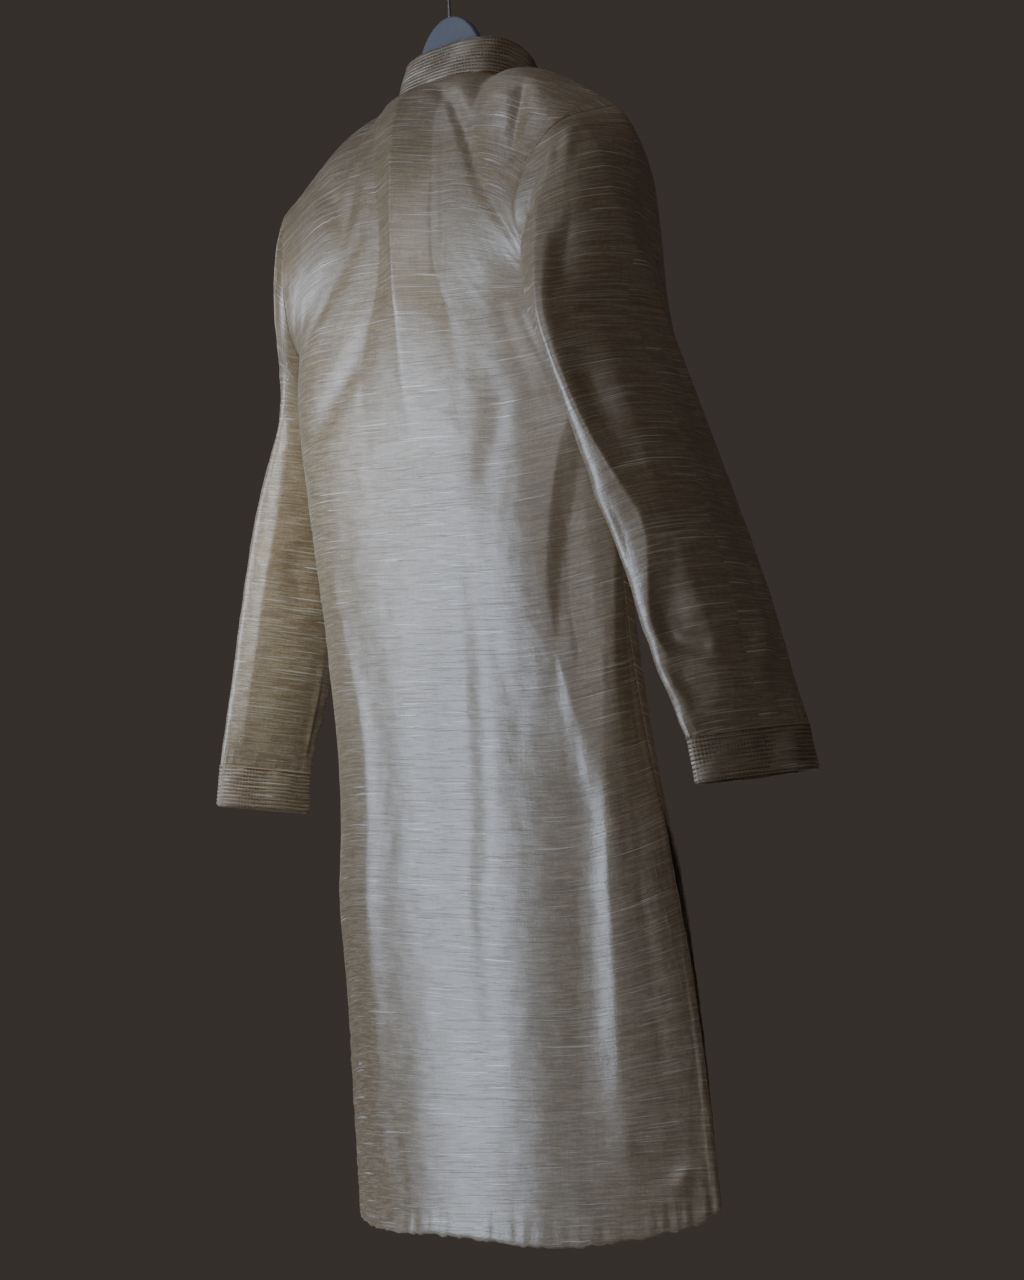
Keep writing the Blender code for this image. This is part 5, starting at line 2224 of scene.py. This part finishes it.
@dataclass(frozen=True)
class Studio:
    """Camera at the viewing angle, soft lights and a plain floor."""

    azimuth: float = 43.9
    distance: float = 2.729
    height: float = -0.913
    aim_side: float = 0.031
    aim_height: float = -0.530
    roll: float = -2.89
    lens: float = 83.45
    floor_level: float = -1.45
    floor_radius: float = 2.6
    floor_sides: int = 96
    floor_finish: Moulded = Moulded("floor", (0.55, 0.54, 0.52, 1.0), 0.8, grain=6.0)
    world: tuple = (0.74, 0.61, 0.54, 1.0)
    world_strength: float = 0.060

    def camera(self) -> None:
        """Places the camera."""
        a, roll = math.radians(self.azimuth), math.radians(self.roll)
        spot = Vector((-math.sin(a), math.cos(a), 0)) * self.distance + Vector((0, 0, self.height))
        side = Vector((-math.cos(a), -math.sin(a), 0))
        ahead = (side * self.aim_side + Vector((0, 0, self.aim_height)) - spot).normalized()
        right = ahead.cross(Vector((0, 0, 1))).normalized()
        up = right.cross(ahead)
        across = math.cos(roll) * right + math.sin(roll) * up
        upward = math.cos(roll) * up - math.sin(roll) * right
        data = bpy.data.cameras.new("camera")
        data.lens = self.lens
        camera = placed("camera", data)
        turn = Matrix((across, upward, -ahead)).transposed().to_4x4()
        camera.matrix_world = Matrix.Translation(spot + Vector(PLACE)) @ turn
        bpy.context.scene.camera = camera

    def floor(self) -> None:
        """Lays the floor, which is no part of the object."""
        form = bmesh.new()
        place = Matrix.Translation((0, 0, self.floor_level + PLACE[2]))
        bmesh.ops.create_circle(
            form, cap_ends=True, radius=self.floor_radius, segments=self.floor_sides, matrix=place
        )
        mesh = bpy.data.meshes.new("floor")
        form.to_mesh(mesh)
        form.free()
        finished("floor", mesh, self.floor_finish.build())

    def build(self) -> None:
        """Sets up camera, lights, world and floor."""
        self.camera()
        for lamp in LAMPS:
            lamp.build()
        world = bpy.data.worlds.new("studio")
        world.use_nodes = True
        back = world.node_tree.nodes["Background"]
        back.inputs["Color"].default_value = self.world
        back.inputs["Strength"].default_value = self.world_strength
        bpy.context.scene.world = world
        self.floor()


# --- Assembly ---
@dataclass(frozen=True)
class Cut:
    """A flat piece of cloth as cut: the rectangle round it, and its own area."""

    width: float
    length: float
    area: float


CUTS = {
    "back": Cut(0.540, 1.120, 0.540),
    "front": Cut(0.520, 1.110, 0.510),
    "sleeve_left": Cut(0.360, 0.620, 0.150),
    "sleeve_right": Cut(0.420, 0.660, 0.190),
    "cuff_left": Cut(0.240, 0.040, 0.0096),
    "cuff_right": Cut(0.270, 0.040, 0.0108),
    "collar": Cut(0.400, 0.040, 0.0160),
    "placket": Cut(0.030, 0.294, 0.0088),
}


@dataclass
class Kurta:
    """The whole garment on its hanger: its sub-assemblies, finishes and finished pieces."""

    body: SewnBody = field(default_factory=SewnBody)
    finishes: dict = field(default_factory=dict)
    pieces: dict = field(default_factory=dict)

    def __post_init__(self) -> None:
        """Makes the finishes."""
        self.finishes = {name: finish.build() for name, finish in FINISHES.items()}

    def show(self, item: Object, *nodes: str, slot: str = "ivory_silk") -> Object:
        """Lets a piece ride in the frame.

        Args:
            item: The piece.
            nodes: Solids that it replaces.
            slot: Name of its material slot, which is only logged.

        Returns:
            The piece.
        """
        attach(item, "root")
        if nodes:
            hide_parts(*nodes)
        LOG.info("%s: %d faces, %s", item.name, len(item.data.polygons), slot)
        return item

    def sheet(self, name: str, rests_on: str, *with_pieces: Object) -> None:
        """Logs the area of a piece of cloth next to the area of its cut.

        Args:
            name: The cloth, as in the cuts.
            rests_on: Piece that carries it; not used.
            with_pieces: Trims sewn to it; not used.
        """
        item, cut = self.pieces[name], CUTS[name]
        measured = sum(face.area for face in item.data.polygons) / 2
        LOG.info("%s: %.4f m2 for a cut of %.4f m2", item.name, measured, cut.area)

    def dress_hanger(self) -> None:
        """Puts up the hanger."""
        hanger = Hanger(self.body.shape)
        board = hanger.board(self.finishes["plastic"])
        self.pieces["hanger"] = self.show(board, "hanger_board", slot="hanger_plastic")
        self.show(hanger.hook(self.finishes["steel"]), "hanger_hook", slot="hook_steel")

    def dress_body(self) -> None:
        """Puts up the sewn body and its hem stitches."""
        for name, item in self.body.build(self.finishes["silk"]).items():
            self.pieces[name] = self.show(item, name)
        hems = {}
        for name in ("back", "front"):
            lines = self.body.hem_lines(name, HEM_STITCHES.lift)
            sewn = HEM_STITCHES.build(f"{name}_hem_stitches", lines, self.finishes["ivory"])
            hems[name] = self.show(sewn)
        for name, stitches in hems.items():
            self.sheet(name, "hanger", stitches)
        for hand in Hand:
            self.sheet(f"sleeve_{hand.name.lower()}", "back")

    def dress_band(self, band: RibbedBand, held: str, piping: str) -> None:
        """Puts up a stitched band with its trims.

        Args:
            band: The band.
            held: Piece that it is sewn to.
            piping: Finish of its piping.
        """
        cloth = band.surface().shell(self.finishes["banded"])
        self.pieces[band.name] = self.show(cloth, band.name)
        lines = band.stitch_lines(BAND_STITCHES.lift)
        sewn = BAND_STITCHES.build(f"{band.name}_stitches", lines, self.finishes["brown"])
        trims = [sewn, band.piping(self.finishes[piping])]
        self.sheet(band.name, held, *(self.show(trim) for trim in trims))

    def dress_bands(self) -> None:
        """Puts up the collar and the cuffs."""
        self.dress_band(Collar(self.body.shape).band(), "back", "gold")
        for hand in Hand:
            sleeve = self.body.cloths[f"sleeve_{hand.name.lower()}"]
            cuff = Cuff(sleeve, SleeveShape(hand, self.body.shape))
            self.dress_band(cuff.band(), sleeve.name, "ivory")

    def dress_placket(self) -> None:
        """Puts up the placket with its stitches and buttons."""
        placket = Placket(self.body.cloths["front"])
        strip = placket.strip()
        cloth = strip.shell(self.finishes["silk"])
        self.pieces["placket"] = self.show(cloth, "placket")
        lines = placket.lines(strip, PLACKET_STITCHES.lift)
        rows = PLACKET_STITCHES.build("placket_stitches", lines, self.finishes["ivory"])
        self.sheet("placket", "front", self.show(rows))
        for number in range(1, len(placket.button_rows) + 1):
            button = placket.button(strip, number, self.finishes["shell"])
            self.show(button, f"button_{number}", slot="button_shell")


def main() -> None:
    """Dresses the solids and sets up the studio."""
    logging.basicConfig(level=logging.INFO)
    kurta = Kurta()
    kurta.dress_hanger()
    kurta.dress_body()
    kurta.dress_bands()
    kurta.dress_placket()
    Studio().build()


if __name__ == "__main__":
    main()
